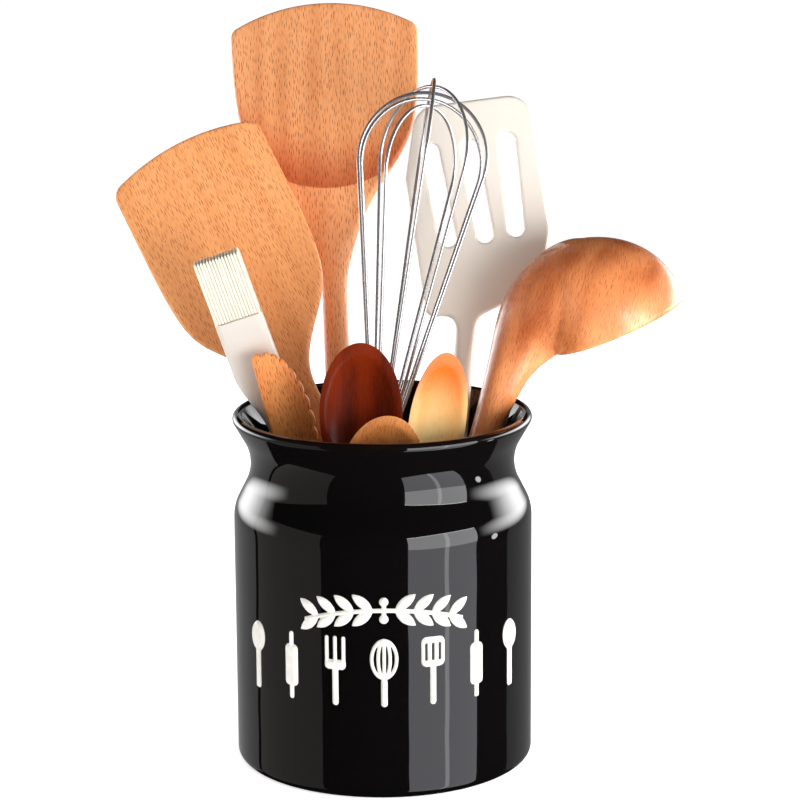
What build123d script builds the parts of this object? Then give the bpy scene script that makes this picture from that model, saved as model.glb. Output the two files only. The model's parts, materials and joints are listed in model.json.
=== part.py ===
from build123d import *
from math import asin, atan2, cos, degrees, radians, sin, sqrt
import os

# Utensil crock: a glazed stoneware jar with a flared lip, raised white ornament on its front,
# and ten kitchen tools standing in it. Millimetres, +Z up, origin at the centre of the foot
# on the surface that the crock stands on. -Y is the decorated front.

# Crock
jar_height = 181.2
jar_radius = 76.2
jar_wall = 5.5
shoulder_height = 127.3
shoulder_round = 22.0
shoulder_turn = 27.0
neck_outer_radius = 67.3
neck_height = 155.8
neck_round = 24.0
flare_turn = 30.0
floor_thickness = 6.0
floor_corner = 4.0
foot_round = 4.7

# Raised ornament on the crock
relief_height = 1.5
figure_height = 35.0
figure_stroke = 3.2
figure_level = 66.0
figure_spacing = 18.5
overrun = 2.0
sprig_level = 98.0
sprig_rise = 7.0
sprig_half_width = 41.0
sprig_stroke = 2.2
leaf_length = 13.0
leaf_width = 5.2
leaf_pitch = 9.2
leaf_pairs = 4
leaf_tilt = 38.0
berry_radius = 2.2

# Every tool rests on its rounded butt, this far above the inside floor
rest_gap = 0.3

# Wide turner
wide_turner_butt_shares = (-0.235, -0.255)
wide_turner_neck_shares = (-0.353, 0.570)
wide_turner_handle_radius = 6.8
wide_turner_length = 389.5
wide_turner_blade_length = 158.0
wide_turner_blade_width = 99.4
wide_turner_neck_thickness = 9.0
wide_turner_tip_thickness = 2.6
wide_turner_corner = 6.0
wide_turner_crown = 14.0
wide_turner_ledge_height = 287.6
wide_turner_ledge_rise = 28.0
wide_turner_spine_length = 42.1
wide_turner_dish_depth = 2.4
wide_turner_flank_shares = ((0.22, 0.15), (0.43, 0.31), (0.87, 0.53), (0.985, 0.72))

# Flat turner
flat_turner_butt_shares = (0.665, -0.380)
flat_turner_neck_shares = (-0.401, 0.269)
flat_turner_handle_radius = 7.0
flat_turner_length = 345.5
flat_turner_blade_length = 155.0
flat_turner_blade_width = 85.0
flat_turner_blade_offset = 2.4
flat_turner_neck_thickness = 8.0
flat_turner_tip_thickness = 2.4
flat_turner_corner = 8.0
flat_turner_crown = 8.0
flat_turner_flank_shares = ((0.24, 0.12), (0.53, 0.25), (0.87, 0.375), (0.975, 0.50), (1.0, 0.68))

# Pastry brush
brush_butt_shares = (-0.034, 0.622)
brush_neck_shares = (-0.790, 0.283)
brush_handle_radius = 5.5
brush_sleeve_width = 25.0
brush_sleeve_thickness = 10.6
brush_sleeve_top = 232.3
brush_sleeve_length = 30.0
brush_taper_length = 34.0
brush_sleeve_round = 3.6
bristle_length = 34.2
bristle_columns = 15
bristle_rows = 20
bristle_width = 1.25
bristle_thickness = 0.26
bristle_side_gap = 0.35
bristle_row_gap = 0.14
brush_backing_depth = 4.0
brush_pocket_gap = 0.1

# Scalloped server
server_butt_shares = (-0.180, 0.474)
server_neck_shares = (-0.791, 0.058)
server_handle_radius = 5.2
server_length = 211.5
server_blade_length = 96.0
server_back_inset = 2.0
server_nose_round = 3.0
server_curve_out = 16.6
server_curve_rise = 39.0
server_curve_end = 115.0
server_tooth_depth = 1.6
server_tooth_count = 8
server_thickness = 5.4
server_tip_thickness = 3.4

# Spoons: the bowl is a segment cut from a long spheroid, hollowed by a smaller one
dark_spoon_butt_shares = (-0.156, -0.656)
dark_spoon_neck_shares = (-0.172, -0.550)
dark_spoon_handle_radius = 5.2
dark_spoon_length = 211.5
dark_spoon_bowl_length = 71.0
dark_spoon_bowl_width = 41.4
dark_spoon_bowl_depth = 9.5
dark_spoon_wall = 2.4
dark_spoon_turn = 0.0

light_spoon_butt_shares = (0.045, -0.356)
light_spoon_neck_shares = (0.382, -0.390)
light_spoon_handle_radius = 5.2
light_spoon_length = 206.6
light_spoon_bowl_length = 72.0
light_spoon_bowl_width = 32.0
light_spoon_bowl_depth = 8.0
light_spoon_wall = 2.2
light_spoon_turn = 24.0

small_spoon_butt_shares = (-0.545, -0.668)
small_spoon_neck_shares = (-0.037, -0.817)
small_spoon_handle_radius = 4.6
small_spoon_length = 184.7
small_spoon_bowl_length = 54.0
small_spoon_bowl_width = 39.0
small_spoon_bowl_depth = 8.5
small_spoon_wall = 2.2
small_spoon_turn = 0.0

spoon_rim_forward = 1.5
spoon_neck_radius = 3.0

# Whisk
whisk_butt_shares = (-0.342, -0.499)
whisk_neck_shares = (-0.036, -0.102)
whisk_handle_radius = 9.5
whisk_handle_length = 126.0
whisk_handle_wall = 1.0
whisk_mouth_radius = 8.2
whisk_plug_height = 18.0
whisk_plug_proud = 4.0
whisk_plug_gap = 0.1
whisk_wire = 1.8
whisk_wire_gap = 0.05
whisk_loops = 5
whisk_wire_circle = 5.0
whisk_wire_depth = 12.0
whisk_crown_height = 340.6
whisk_crown_step = 3.4
whisk_balloon_radius = 36.4
whisk_balloon_step = 1.3
whisk_bend_radius = 22.0
whisk_splay = 11.4
whisk_first_loop = 90.0

# Slotted turner
slotted_turner_butt_shares = (0.390, 0.133)
slotted_turner_neck_shares = (0.638, 0.625)
slotted_turner_handle_radius = 5.0
slotted_turner_neck_radius = 4.6
slotted_turner_neck_height = 203.0
slotted_turner_handle_length = 216.0
slotted_turner_blade_foot = 211.0
slotted_turner_blade_height = 121.0
slotted_turner_blade_width = 77.0
slotted_turner_blade_thickness = 3.4
slotted_turner_corner = 13.0
slotted_turner_shoulder = 5.0
slotted_turner_outline_shares = (
    (-0.27, 0.0),
    (-0.48, 0.59),
    (-0.45, 0.90),
    (0.31, 1.0),
    (0.52, 0.42),
    (0.49, 0.16),
    (0.14, 0.045),
)
slot_width = 8.7
slot_length = 55.0
slot_centre_shares = ((-0.245, 0.53), (0.008, 0.56), (0.238, 0.60))
slot_leans = (15.4, 14.4, 10.0)

# Ladle: a deep turned bowl, upside down, carved in one with its curved handle
ladle_butt_shares = (0.107, 0.035)
ladle_neck_shares = (0.812, 0.204)
ladle_handle_radius = 6.0
ladle_neck_radius = 7.9
ladle_handle_length = 169.5
ladle_bowl_out = 50.0
ladle_bowl_height = 232.4
ladle_bowl_tilt = 40.0
ladle_bowl_radius = 36.5
ladle_bowl_depth = 50.0
ladle_crown_radius = 27.0
ladle_bowl_wall = 4.5
ladle_throat_shares = (
    (0.046, 0.850, 0.329, 0.288, 0.24),
    (0.13, 0.934, 0.518, 0.438, 0.545),
    (0.24, 0.992, 0.630, 0.589, 0.975),
    (0.416, 1.040, 0.693, 0.699, 1.175),
    (0.666, 1.079, 0.644, 0.70, 1.37),
    (1.0, 1.097, 0.43, 0.54, 1.55),
)


def turned(tool, turn):
    """The same seat, turned about the tool's own length."""
    return Plane(tool * Location((0, 0, 0), (0, 0, turn)))


def tool_seat(butt_shares, neck_shares, butt_radius, turn=0.0):
    """Plane at the centre of a tool's rounded butt: +Z up its handle, +X right, +Y to the back.

    The butt rests on the inside floor, and the handle passes the neck of the jar at neck_shares
    of the neck's inside radius.
    """
    inside_radius = jar_radius - jar_wall
    neck_radius = neck_outer_radius - jar_wall
    low = Vector(
        butt_shares[0] * inside_radius,
        butt_shares[1] * inside_radius,
        floor_thickness + rest_gap + butt_radius,
    )
    high = Vector(neck_shares[0] * neck_radius, neck_shares[1] * neck_radius, neck_height)
    up = (high - low).normalized()
    right = Vector(0, 1, 0).cross(up)
    return turned(Plane(origin=low, x_dir=right, z_dir=up), turn)


def front_of(tool, forward=0.0):
    """Sketch plane that shows a tool from the front, across right and height along the tool."""
    return Plane(tool * Plane.XZ.offset(forward))


def side_of(tool, right=0.0):
    """Sketch plane that shows a tool from its right, across back and height along the tool."""
    return Plane(tool * Plane.YZ.offset(right))


def turned_handle(tool, butt, *sides):
    """Round handle with a half-ball butt, then straight sides to each (radius, height) in turn."""
    head = (0, sides[-1][1])
    with BuildPart() as handle:
        with BuildSketch(front_of(tool)):
            with BuildLine():
                ball = CenterArc((0, 0), butt, -90, 90)
                Polyline(ball @ 1, *sides, head, ball @ 0)
            make_face()
        revolve(axis=Axis(tool.origin, tool.z_dir))
    return handle.part


def spheroid(tool, out, centre, girth, reach):
    """Spheroid whose long axis runs along the tool, out behind its centre line."""
    middle = Plane(tool * Location((0, out, centre)))
    with BuildPart() as ball:
        with BuildSketch(side_of(middle)):
            with BuildLine():
                arc = EllipticalCenterArc((0, 0), girth, reach, start_angle=-90, arc_size=180)
                Line(arc @ 1, arc @ 0)
            make_face()
        revolve(axis=Axis(middle.origin, middle.z_dir))
    return ball.part


def wooden_spoon(tool, butt, length, bowl_length, bowl_width, bowl_depth, wall):
    """Spoon whose bowl opens to the tool's front, on a handle that thins towards the bowl."""
    half_width = bowl_width / 2
    girth = (half_width**2 + bowl_depth**2) / (2 * bowl_depth)
    behind = girth - bowl_depth
    reach = bowl_length / 2 / sqrt(1 - (behind / girth) ** 2)
    centre = length - bowl_length / 2
    out = -spoon_rim_forward - behind
    cavity = spheroid(tool, out, centre, girth - wall, reach - wall)
    outside = spheroid(tool, out, centre, girth, reach)
    handle = turned_handle(tool, butt, (spoon_neck_radius, centre - bowl_length / 2 + 2 * wall))
    with BuildPart() as spoon:
        add(outside)
        split(bisect_by=front_of(tool, spoon_rim_forward), keep=Keep.BOTTOM)
        add(handle)
        add(cavity, mode=Mode.SUBTRACT)
    return spoon.part


def blade_outline(half_width, neck_half, foot, length, crown, shares, offset=0.0):
    """Face of a turner's blade: two curved flanks from the neck and a crowned top edge."""
    blade = length - foot
    right = [(half_width * across - offset, foot + blade * up) for across, up in shares]
    left = [(-half_width * across - offset, foot + blade * up) for across, up in shares]
    corner = length - crown
    with BuildSketch() as face:
        with BuildLine():
            flank = Spline(
                (neck_half, foot), *right, (half_width - offset, corner), tangents=((0, 1), (0, 1))
            )
            top = ThreePointArc(flank @ 1, (-offset, length), (-half_width - offset, corner))
            Spline(top @ 1, *reversed(left), (-neck_half, foot), tangents=((0, -1), (0, -1)))
            Line((-neck_half, foot), (neck_half, foot))
        make_face()
    return face.sketch


# Crock body
def jar_side(inset):
    """Key points of the jar's side wall, measured square inwards from the outside surface."""
    turn = radians(shoulder_turn)
    flare = radians(flare_turn)
    shoulder_centre = (jar_radius - shoulder_round, shoulder_height)
    neck_centre = (neck_outer_radius + neck_round, neck_height)
    outer_neck = neck_round + inset
    lip = jar_wall / 2
    lip_centre = (jar_radius - lip, jar_height - lip)
    return {
        "shoulder_centre": shoulder_centre,
        "shoulder_radius": shoulder_round - inset,
        "shoulder_end": (
            shoulder_centre[0] + (shoulder_round - inset) * cos(turn),
            shoulder_centre[1] + (shoulder_round - inset) * sin(turn),
        ),
        "neck_centre": neck_centre,
        "neck_start": (neck_centre[0] - outer_neck * cos(turn), neck_centre[1] - outer_neck * sin(turn)),
        "neck_middle": (neck_centre[0] - outer_neck, neck_centre[1]),
        "neck_end": (neck_centre[0] - outer_neck * cos(flare), neck_centre[1] + outer_neck * sin(flare)),
        "lip_centre": lip_centre,
        "lip_touch": (
            lip_centre[0] + (lip - inset) * cos(flare),
            lip_centre[1] - (lip - inset) * sin(flare),
        ),
    }


outside = jar_side(0)
inside = jar_side(jar_wall)
with BuildPart() as crock_body:
    with BuildSketch(Plane.XZ):
        with BuildLine():
            foot = Line((0, 0), (jar_radius - foot_round, 0))
            foot_curve = RadiusArc(foot @ 1, (jar_radius, foot_round), -foot_round)
            body = Line(foot_curve @ 1, (jar_radius, shoulder_height))
            shoulder = CenterArc(outside["shoulder_centre"], outside["shoulder_radius"], 0, shoulder_turn)
            slope = Line(shoulder @ 1, outside["neck_start"])
            neck = ThreePointArc(slope @ 1, outside["neck_middle"], outside["neck_end"])
            flare = Line(neck @ 1, outside["lip_touch"])
            lip = CenterArc(outside["lip_centre"], jar_wall / 2, -flare_turn, 180)
            inner_flare = Line(lip @ 1, inside["neck_end"])
            inner_neck = ThreePointArc(inner_flare @ 1, inside["neck_middle"], inside["neck_start"])
            inner_slope = Line(inner_neck @ 1, inside["shoulder_end"])
            inner_shoulder = CenterArc(
                inside["shoulder_centre"], inside["shoulder_radius"], shoulder_turn, -shoulder_turn
            )
            inner_body = Line(
                inner_shoulder @ 1, (jar_radius - jar_wall, floor_thickness + floor_corner)
            )
            inner_corner = RadiusArc(
                inner_body @ 1, (jar_radius - jar_wall - floor_corner, floor_thickness), floor_corner
            )
            inner_floor = Line(inner_corner @ 1, (0, floor_thickness))
            Line(inner_floor @ 1, foot @ 0)
        make_face()
    revolve(axis=Axis.Z)
crock_body.part.label = "crock_body"


# Raised ornament: flat figures pressed onto the wall, each between the wall and a larger cylinder
def wall_plane(angle, height):
    """Plane that touches the crock's wall at an angle to the right of the front."""
    across = radians(angle)
    out = Vector(sin(across), -cos(across), 0)
    return Plane(
        origin=out * jar_radius + Vector(0, 0, height), x_dir=(cos(across), sin(across), 0), z_dir=out
    )


def ornament_ring():
    """Thin sleeve of the ornament's thickness over the straight wall of the crock."""
    with BuildPart() as ring:
        with BuildSketch(Plane.XY.offset(foot_round)):
            Circle(jar_radius + relief_height)
            Circle(jar_radius, mode=Mode.SUBTRACT)
        extrude(amount=shoulder_height - foot_round)
    return ring.part


def handle_bar(top):
    """Straight round-ended bar from the figure's foot up to a height."""
    with BuildSketch() as bar:
        with Locations((0, (top - figure_height / 2) / 2)):
            SlotOverall(top + figure_height / 2, figure_stroke, rotation=90)
    return bar.sketch


def spoon_figure():
    stem = handle_bar(figure_height / 4)
    with BuildSketch() as figure:
        add(stem)
        with Locations((0, figure_height * 0.28)):
            Ellipse(figure_stroke * 1.7, figure_height * 0.22)
    return figure.sketch


def fork_figure():
    stem = handle_bar(figure_height / 8)
    prong = figure_stroke * 0.62
    reach = figure_height * 0.42
    with BuildSketch() as figure:
        add(stem)
        with Locations((0, figure_height * 0.10)):
            RectangleRounded(figure_stroke * 3.4, figure_stroke * 1.6, figure_stroke * 0.7)
        with Locations((0, figure_height * 0.10 + reach / 2)):
            with GridLocations(figure_stroke * 1.35, 0, 3, 1):
                SlotOverall(reach, prong, rotation=90)
    return figure.sketch


def turner_figure():
    stem = handle_bar(figure_height / 8)
    with BuildSketch() as figure:
        add(stem)
        with Locations((0, figure_height * 0.28)):
            RectangleRounded(figure_stroke * 3.8, figure_height * 0.44, figure_stroke * 0.9)
            with GridLocations(figure_stroke * 1.1, 0, 3, 1):
                SlotOverall(figure_height * 0.26, figure_stroke * 0.42, rotation=90, mode=Mode.SUBTRACT)
    return figure.sketch


def whisk_figure():
    stem = handle_bar(-figure_height / 12)
    line = figure_stroke * 0.55
    with BuildSketch() as figure:
        add(stem)
        with Locations((0, figure_height * 0.20)):
            Ellipse(figure_stroke * 2.2, figure_height * 0.30)
            Ellipse(figure_stroke * 2.2 - line, figure_height * 0.30 - line, mode=Mode.SUBTRACT)
            Ellipse(figure_stroke * 1.05, figure_height * 0.30)
            Ellipse(figure_stroke * 1.05 - line, figure_height * 0.30 - line, mode=Mode.SUBTRACT)
            Rectangle(line, figure_height * 0.58)
    return figure.sketch


def pin_figure():
    with BuildSketch() as figure:
        SlotOverall(figure_height, figure_stroke * 0.8, rotation=90)
        RectangleRounded(figure_stroke * 2.4, figure_height * 0.62, figure_stroke * 0.8)
    return figure.sketch


ring = ornament_ring()
figures = (
    spoon_figure(),
    pin_figure(),
    fork_figure(),
    whisk_figure(),
    turner_figure(),
    pin_figure(),
    spoon_figure(),
)
reliefs = []
for number, figure in enumerate(figures):
    angle = (number - (len(figures) - 1) / 2) * figure_spacing
    with BuildPart() as relief:
        with BuildSketch(wall_plane(angle, figure_level)):
            add(figure)
        extrude(amount=relief_height + overrun, both=True)
        add(ring, mode=Mode.INTERSECT)
    relief.part.label = "relief_" + str(number + 1)
    reliefs.append(relief.part)

with BuildPart() as relief_sprig:
    with BuildSketch(Plane.XZ.offset(jar_radius / 2)):
        with BuildLine(mode=Mode.PRIVATE) as stem_line:
            ThreePointArc(
                (-sprig_half_width, sprig_level - sprig_rise),
                (0, sprig_level),
                (sprig_half_width, sprig_level - sprig_rise),
            )
        SlotArc(stem_line.edge(), sprig_stroke)
    extrude(amount=jar_radius)
    for side in (-1, 1):
        for pair in range(leaf_pairs):
            along = (pair + 0.6) * leaf_pitch
            swing = degrees(asin(along / jar_radius))
            drop = sprig_rise * (along / sprig_half_width) ** 2
            for half in (-1, 1):
                with BuildSketch(wall_plane(side * swing, sprig_level - drop)):
                    with Locations(Location((0, 0, 0), (0, 0, 90 + side * (half * leaf_tilt - 90)))):
                        with Locations((leaf_length / 2, 0)):
                            Ellipse(leaf_length / 2, leaf_width / 2)
                extrude(amount=relief_height + overrun, both=True)
    with BuildSketch(wall_plane(0, sprig_level)):
        with Locations((0, 2 * berry_radius), (0, -2 * berry_radius)):
            Circle(berry_radius)
        Rectangle(sprig_stroke, 4 * berry_radius)
    extrude(amount=relief_height + overrun, both=True)
    add(ring, mode=Mode.INTERSECT)
relief_sprig.part.label = "relief_sprig"

# Wide turner: blade dished on its front, with a curved ledge where the dish ends
wide_seat = tool_seat(wide_turner_butt_shares, wide_turner_neck_shares, wide_turner_handle_radius)
wide_foot = wide_turner_length - wide_turner_blade_length
wide_half = wide_turner_neck_thickness / 2
wide_handle = turned_handle(
    wide_seat, wide_turner_handle_radius, (wide_half, wide_foot + wide_turner_spine_length)
)
wide_face = blade_outline(
    wide_turner_blade_width / 2,
    wide_turner_handle_radius,
    wide_foot,
    wide_turner_length,
    wide_turner_crown,
    wide_turner_flank_shares,
)
with BuildPart() as wide_turner:
    with BuildSketch(front_of(wide_seat)) as wide_sketch:
        add(wide_face)
        fillet(wide_sketch.vertices().sort_by(Axis.Y)[-2:], wide_turner_corner)
    extrude(amount=wide_half, both=True)
    with BuildSketch(side_of(wide_seat, -wide_turner_blade_width)):
        Polygon(
            (-wide_half, wide_foot - overrun),
            (wide_half, wide_foot - overrun),
            (wide_half, wide_turner_ledge_height),
            (wide_turner_tip_thickness / 2 + wide_turner_dish_depth / 2, wide_turner_length + overrun),
            (-wide_turner_tip_thickness / 2 + wide_turner_dish_depth / 2, wide_turner_length + overrun),
            (-wide_half, wide_turner_ledge_height),
            align=None,
        )
    extrude(amount=2 * wide_turner_blade_width, mode=Mode.INTERSECT)
    with BuildSketch(front_of(wide_seat, wide_half)):
        with BuildLine():
            ledge = ThreePointArc(
                (-wide_turner_blade_width / 2, wide_turner_ledge_height + wide_turner_ledge_rise),
                (0, wide_turner_ledge_height),
                (wide_turner_blade_width / 2, wide_turner_ledge_height + wide_turner_ledge_rise),
            )
            Polyline(
                ledge @ 1,
                (wide_turner_blade_width, wide_turner_length + overrun),
                (-wide_turner_blade_width, wide_turner_length + overrun),
                ledge @ 0,
            )
        make_face()
    extrude(amount=-wide_turner_dish_depth, mode=Mode.SUBTRACT)
    add(wide_handle)
wide_turner.part.label = "wide_turner"

# Flat turner
flat_seat = tool_seat(flat_turner_butt_shares, flat_turner_neck_shares, flat_turner_handle_radius)
flat_foot = flat_turner_length - flat_turner_blade_length
flat_half = flat_turner_neck_thickness / 2
flat_handle = turned_handle(
    flat_seat, flat_turner_handle_radius, (flat_half, flat_foot + flat_turner_blade_width / 2)
)
flat_face = blade_outline(
    flat_turner_blade_width / 2,
    flat_turner_handle_radius,
    flat_foot,
    flat_turner_length,
    flat_turner_crown,
    flat_turner_flank_shares,
    flat_turner_blade_offset,
)
with BuildPart() as flat_turner:
    with BuildSketch(front_of(flat_seat)) as flat_sketch:
        add(flat_face)
        fillet(flat_sketch.vertices().sort_by(Axis.Y)[-2:], flat_turner_corner)
    extrude(amount=flat_half, both=True)
    with BuildSketch(side_of(flat_seat, -flat_turner_blade_width)):
        Polygon(
            (-flat_half, flat_foot - overrun),
            (flat_half, flat_foot - overrun),
            (flat_turner_tip_thickness / 2, flat_turner_length + overrun),
            (-flat_turner_tip_thickness / 2, flat_turner_length + overrun),
            align=None,
        )
    extrude(amount=2 * flat_turner_blade_width, mode=Mode.INTERSECT)
    add(flat_handle)
flat_turner.part.label = "flat_turner"

# Pastry brush: flat sleeve on a round handle, and a moulded head of bristles in the sleeve's pocket
brush_seat = tool_seat(brush_butt_shares, brush_neck_shares, brush_handle_radius)
sleeve_foot = brush_sleeve_top - brush_sleeve_length
taper_foot = sleeve_foot - brush_taper_length
bristle_pitch = bristle_width + bristle_side_gap
row_pitch = bristle_thickness + bristle_row_gap
head_width = bristle_columns * bristle_pitch - bristle_side_gap
head_thickness = bristle_rows * row_pitch - bristle_row_gap
brush_stem = turned_handle(
    brush_seat, brush_handle_radius, (brush_sleeve_thickness / 2, sleeve_foot)
)
with BuildPart() as brush_handle:
    with BuildSketch(front_of(brush_seat)):
        with BuildLine():
            right_curve = Spline(
                (brush_handle_radius, taper_foot),
                (brush_sleeve_width / 2, sleeve_foot),
                tangents=((0, 1), (0, 1)),
            )
            right_side = Line(right_curve @ 1, (brush_sleeve_width / 2, brush_sleeve_top))
            sleeve_mouth = Line(right_side @ 1, (-brush_sleeve_width / 2, brush_sleeve_top))
            left_side = Line(sleeve_mouth @ 1, (-brush_sleeve_width / 2, sleeve_foot))
            left_curve = Spline(
                left_side @ 1, (-brush_handle_radius, taper_foot), tangents=((0, -1), (0, -1))
            )
            Line(left_curve @ 1, right_curve @ 0)
        make_face()
    extrude(amount=brush_sleeve_thickness / 2, both=True)
    fillet(brush_handle.edges().filter_by(Axis(brush_seat.origin, brush_seat.z_dir)), brush_sleeve_round)
    add(brush_stem)
    with BuildSketch(brush_seat.offset(brush_sleeve_top)):
        Rectangle(head_width + 2 * brush_pocket_gap, head_thickness + 2 * brush_pocket_gap)
    extrude(amount=-brush_backing_depth, mode=Mode.SUBTRACT)
brush_handle.part.label = "brush_handle"

with BuildPart() as brush_head:
    with BuildSketch(brush_seat.offset(brush_sleeve_top - brush_backing_depth)):
        Rectangle(head_width, head_thickness)
    extrude(amount=brush_backing_depth)
    with BuildSketch(brush_seat.offset(brush_sleeve_top)):
        with GridLocations(bristle_pitch, row_pitch, bristle_columns, bristle_rows):
            Rectangle(bristle_width, bristle_thickness)
    extrude(amount=bristle_length)
brush_head.part.label = "brush_head"

# Scalloped server: straight back on the left, teeth along the curve on the right
server_seat = tool_seat(server_butt_shares, server_neck_shares, server_handle_radius)
server_foot = server_length - server_blade_length
server_half = server_thickness / 2
server_stem = turned_handle(
    server_seat, server_handle_radius, (server_half, server_foot + server_curve_rise / 2)
)


def server_edge_point(turn, inset):
    """Point on the server's toothed curve, at an angle from its top, set back by an inset."""
    angle = radians(turn)
    return (
        server_nose_round + (server_curve_out - inset) * sin(angle),
        server_length - server_curve_rise + (server_curve_rise - inset) * cos(angle),
    )


with BuildPart() as scalloped_server:
    with BuildSketch(front_of(server_seat)):
        with BuildLine():
            back_foot = (-server_handle_radius, server_foot)
            back_head = (-server_handle_radius + server_back_inset, server_length - server_nose_round)
            back_line = Line(back_foot, back_head)
            tooth_turn = server_curve_end / server_tooth_count
            ThreePointArc(back_line @ 1, (0, server_length), server_edge_point(0, server_tooth_depth))
            for tooth in range(server_tooth_count):
                ThreePointArc(
                    server_edge_point(tooth * tooth_turn, server_tooth_depth),
                    server_edge_point((tooth + 0.5) * tooth_turn, 0),
                    server_edge_point((tooth + 1) * tooth_turn, server_tooth_depth),
                )
            Spline(
                server_edge_point(server_curve_end, server_tooth_depth),
                (server_handle_radius, server_foot),
                tangents=((-0.4, -1), (0, -1)),
            )
            Line((server_handle_radius, server_foot), back_foot)
        make_face()
    extrude(amount=server_half, both=True)
    with BuildSketch(side_of(server_seat, -server_curve_rise)):
        Polygon(
            (-server_half, server_foot - overrun),
            (server_half, server_foot - overrun),
            (server_tip_thickness / 2, server_length + overrun),
            (-server_tip_thickness / 2, server_length + overrun),
            align=None,
        )
    extrude(amount=2 * server_curve_rise, mode=Mode.INTERSECT)
    add(server_stem)
scalloped_server.part.label = "scalloped_server"

# Spoons
dark_spoon = wooden_spoon(
    tool_seat(dark_spoon_butt_shares, dark_spoon_neck_shares, dark_spoon_handle_radius, dark_spoon_turn),
    dark_spoon_handle_radius,
    dark_spoon_length,
    dark_spoon_bowl_length,
    dark_spoon_bowl_width,
    dark_spoon_bowl_depth,
    dark_spoon_wall,
)
dark_spoon.label = "dark_spoon"
light_spoon = wooden_spoon(
    tool_seat(
        light_spoon_butt_shares, light_spoon_neck_shares, light_spoon_handle_radius, light_spoon_turn
    ),
    light_spoon_handle_radius,
    light_spoon_length,
    light_spoon_bowl_length,
    light_spoon_bowl_width,
    light_spoon_bowl_depth,
    light_spoon_wall,
)
light_spoon.label = "light_spoon"
small_spoon = wooden_spoon(
    tool_seat(
        small_spoon_butt_shares, small_spoon_neck_shares, small_spoon_handle_radius, small_spoon_turn
    ),
    small_spoon_handle_radius,
    small_spoon_length,
    small_spoon_bowl_length,
    small_spoon_bowl_width,
    small_spoon_bowl_depth,
    small_spoon_wall,
)
small_spoon.label = "small_spoon"

# Whisk: tube handle with a closed rounded butt, a plug in its mouth, wire loops in the plug
whisk_seat = tool_seat(whisk_butt_shares, whisk_neck_shares, whisk_handle_radius)
whisk_axis = Axis(whisk_seat.origin, whisk_seat.z_dir)
bore_radius = whisk_handle_radius - whisk_handle_wall
with BuildPart() as whisk_handle:
    with BuildSketch(front_of(whisk_seat)):
        with BuildLine():
            butt_outside = CenterArc((0, 0), whisk_handle_radius, -90, 90)
            tube_outside = Line(butt_outside @ 1, (whisk_mouth_radius, whisk_handle_length))
            tube_mouth = Line(
                tube_outside @ 1, (whisk_mouth_radius - whisk_handle_wall, whisk_handle_length)
            )
            tube_inside = Line(tube_mouth @ 1, (bore_radius, 0))
            butt_inside = CenterArc((0, 0), bore_radius, 0, -90)
            Line(butt_inside @ 1, butt_outside @ 0)
        make_face()
    revolve(axis=whisk_axis)
whisk_handle.part.label = "whisk_handle"

plug_radius = whisk_mouth_radius - whisk_handle_wall - whisk_plug_gap
plug_top = whisk_handle_length + whisk_plug_proud
with BuildPart() as whisk_plug:
    with BuildSketch(whisk_seat.offset(plug_top - whisk_plug_height)):
        Circle(plug_radius)
    extrude(amount=whisk_plug_height)
    with BuildSketch(whisk_seat.offset(plug_top)):
        with PolarLocations(whisk_wire_circle, 2 * whisk_loops, start_angle=whisk_first_loop):
            Circle(whisk_wire / 2 + whisk_wire_gap)
    extrude(amount=-whisk_wire_depth, mode=Mode.SUBTRACT)
whisk_plug.part.label = "whisk_plug"

whisk_wires = []
for loop in range(whisk_loops):
    turn = whisk_first_loop + loop * 180 / whisk_loops
    splay = radians(whisk_splay)
    balloon = whisk_balloon_radius - loop * whisk_balloon_step
    balloon_centre = whisk_crown_height - loop * whisk_crown_step - balloon
    touch = (balloon * cos(splay), balloon_centre - balloon * sin(splay))
    bend_end = whisk_wire_circle + whisk_bend_radius * (1 - cos(splay))
    bend_top = touch[1] - (touch[0] - bend_end) / sin(splay) * cos(splay)
    bend_foot = bend_top - whisk_bend_radius * sin(splay)
    wire_foot = plug_top - whisk_wire_depth
    with BuildPart() as whisk_loop:
        with BuildLine(front_of(turned(whisk_seat, turn))) as wire_line:
            Line((whisk_wire_circle, wire_foot), (whisk_wire_circle, bend_foot))
            CenterArc(
                (whisk_wire_circle + whisk_bend_radius, bend_foot), whisk_bend_radius, 180, -whisk_splay
            )
            Line((bend_end, bend_top), touch)
            CenterArc((0, balloon_centre), balloon, -whisk_splay, 180 + 2 * whisk_splay)
            Line((-touch[0], touch[1]), (-bend_end, bend_top))
            CenterArc(
                (-whisk_wire_circle - whisk_bend_radius, bend_foot),
                whisk_bend_radius,
                whisk_splay,
                -whisk_splay,
            )
            Line((-whisk_wire_circle, bend_foot), (-whisk_wire_circle, wire_foot))
        with BuildSketch(Plane(origin=wire_line.line @ 0, z_dir=wire_line.line % 0)):
            Circle(whisk_wire / 2)
        sweep()
    whisk_loop.part.label = "whisk_loop_" + str(loop + 1)
    whisk_wires.append(whisk_loop.part)

# Slotted turner: blade set askew on its neck, with three slots
slotted_seat = tool_seat(
    slotted_turner_butt_shares, slotted_turner_neck_shares, slotted_turner_handle_radius
)
slotted_tip = (
    slotted_turner_blade_thickness / 3,
    slotted_turner_handle_length + 2 * slotted_turner_handle_radius,
)
slotted_handle = turned_handle(
    slotted_seat,
    slotted_turner_handle_radius,
    (slotted_turner_neck_radius, slotted_turner_neck_height),
    slotted_tip,
)


def slotted_point(across, up):
    """Point on the slotted blade from its shares of the blade's width and height."""
    return (
        across * slotted_turner_blade_width,
        slotted_turner_blade_foot + up * slotted_turner_blade_height,
    )


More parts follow.
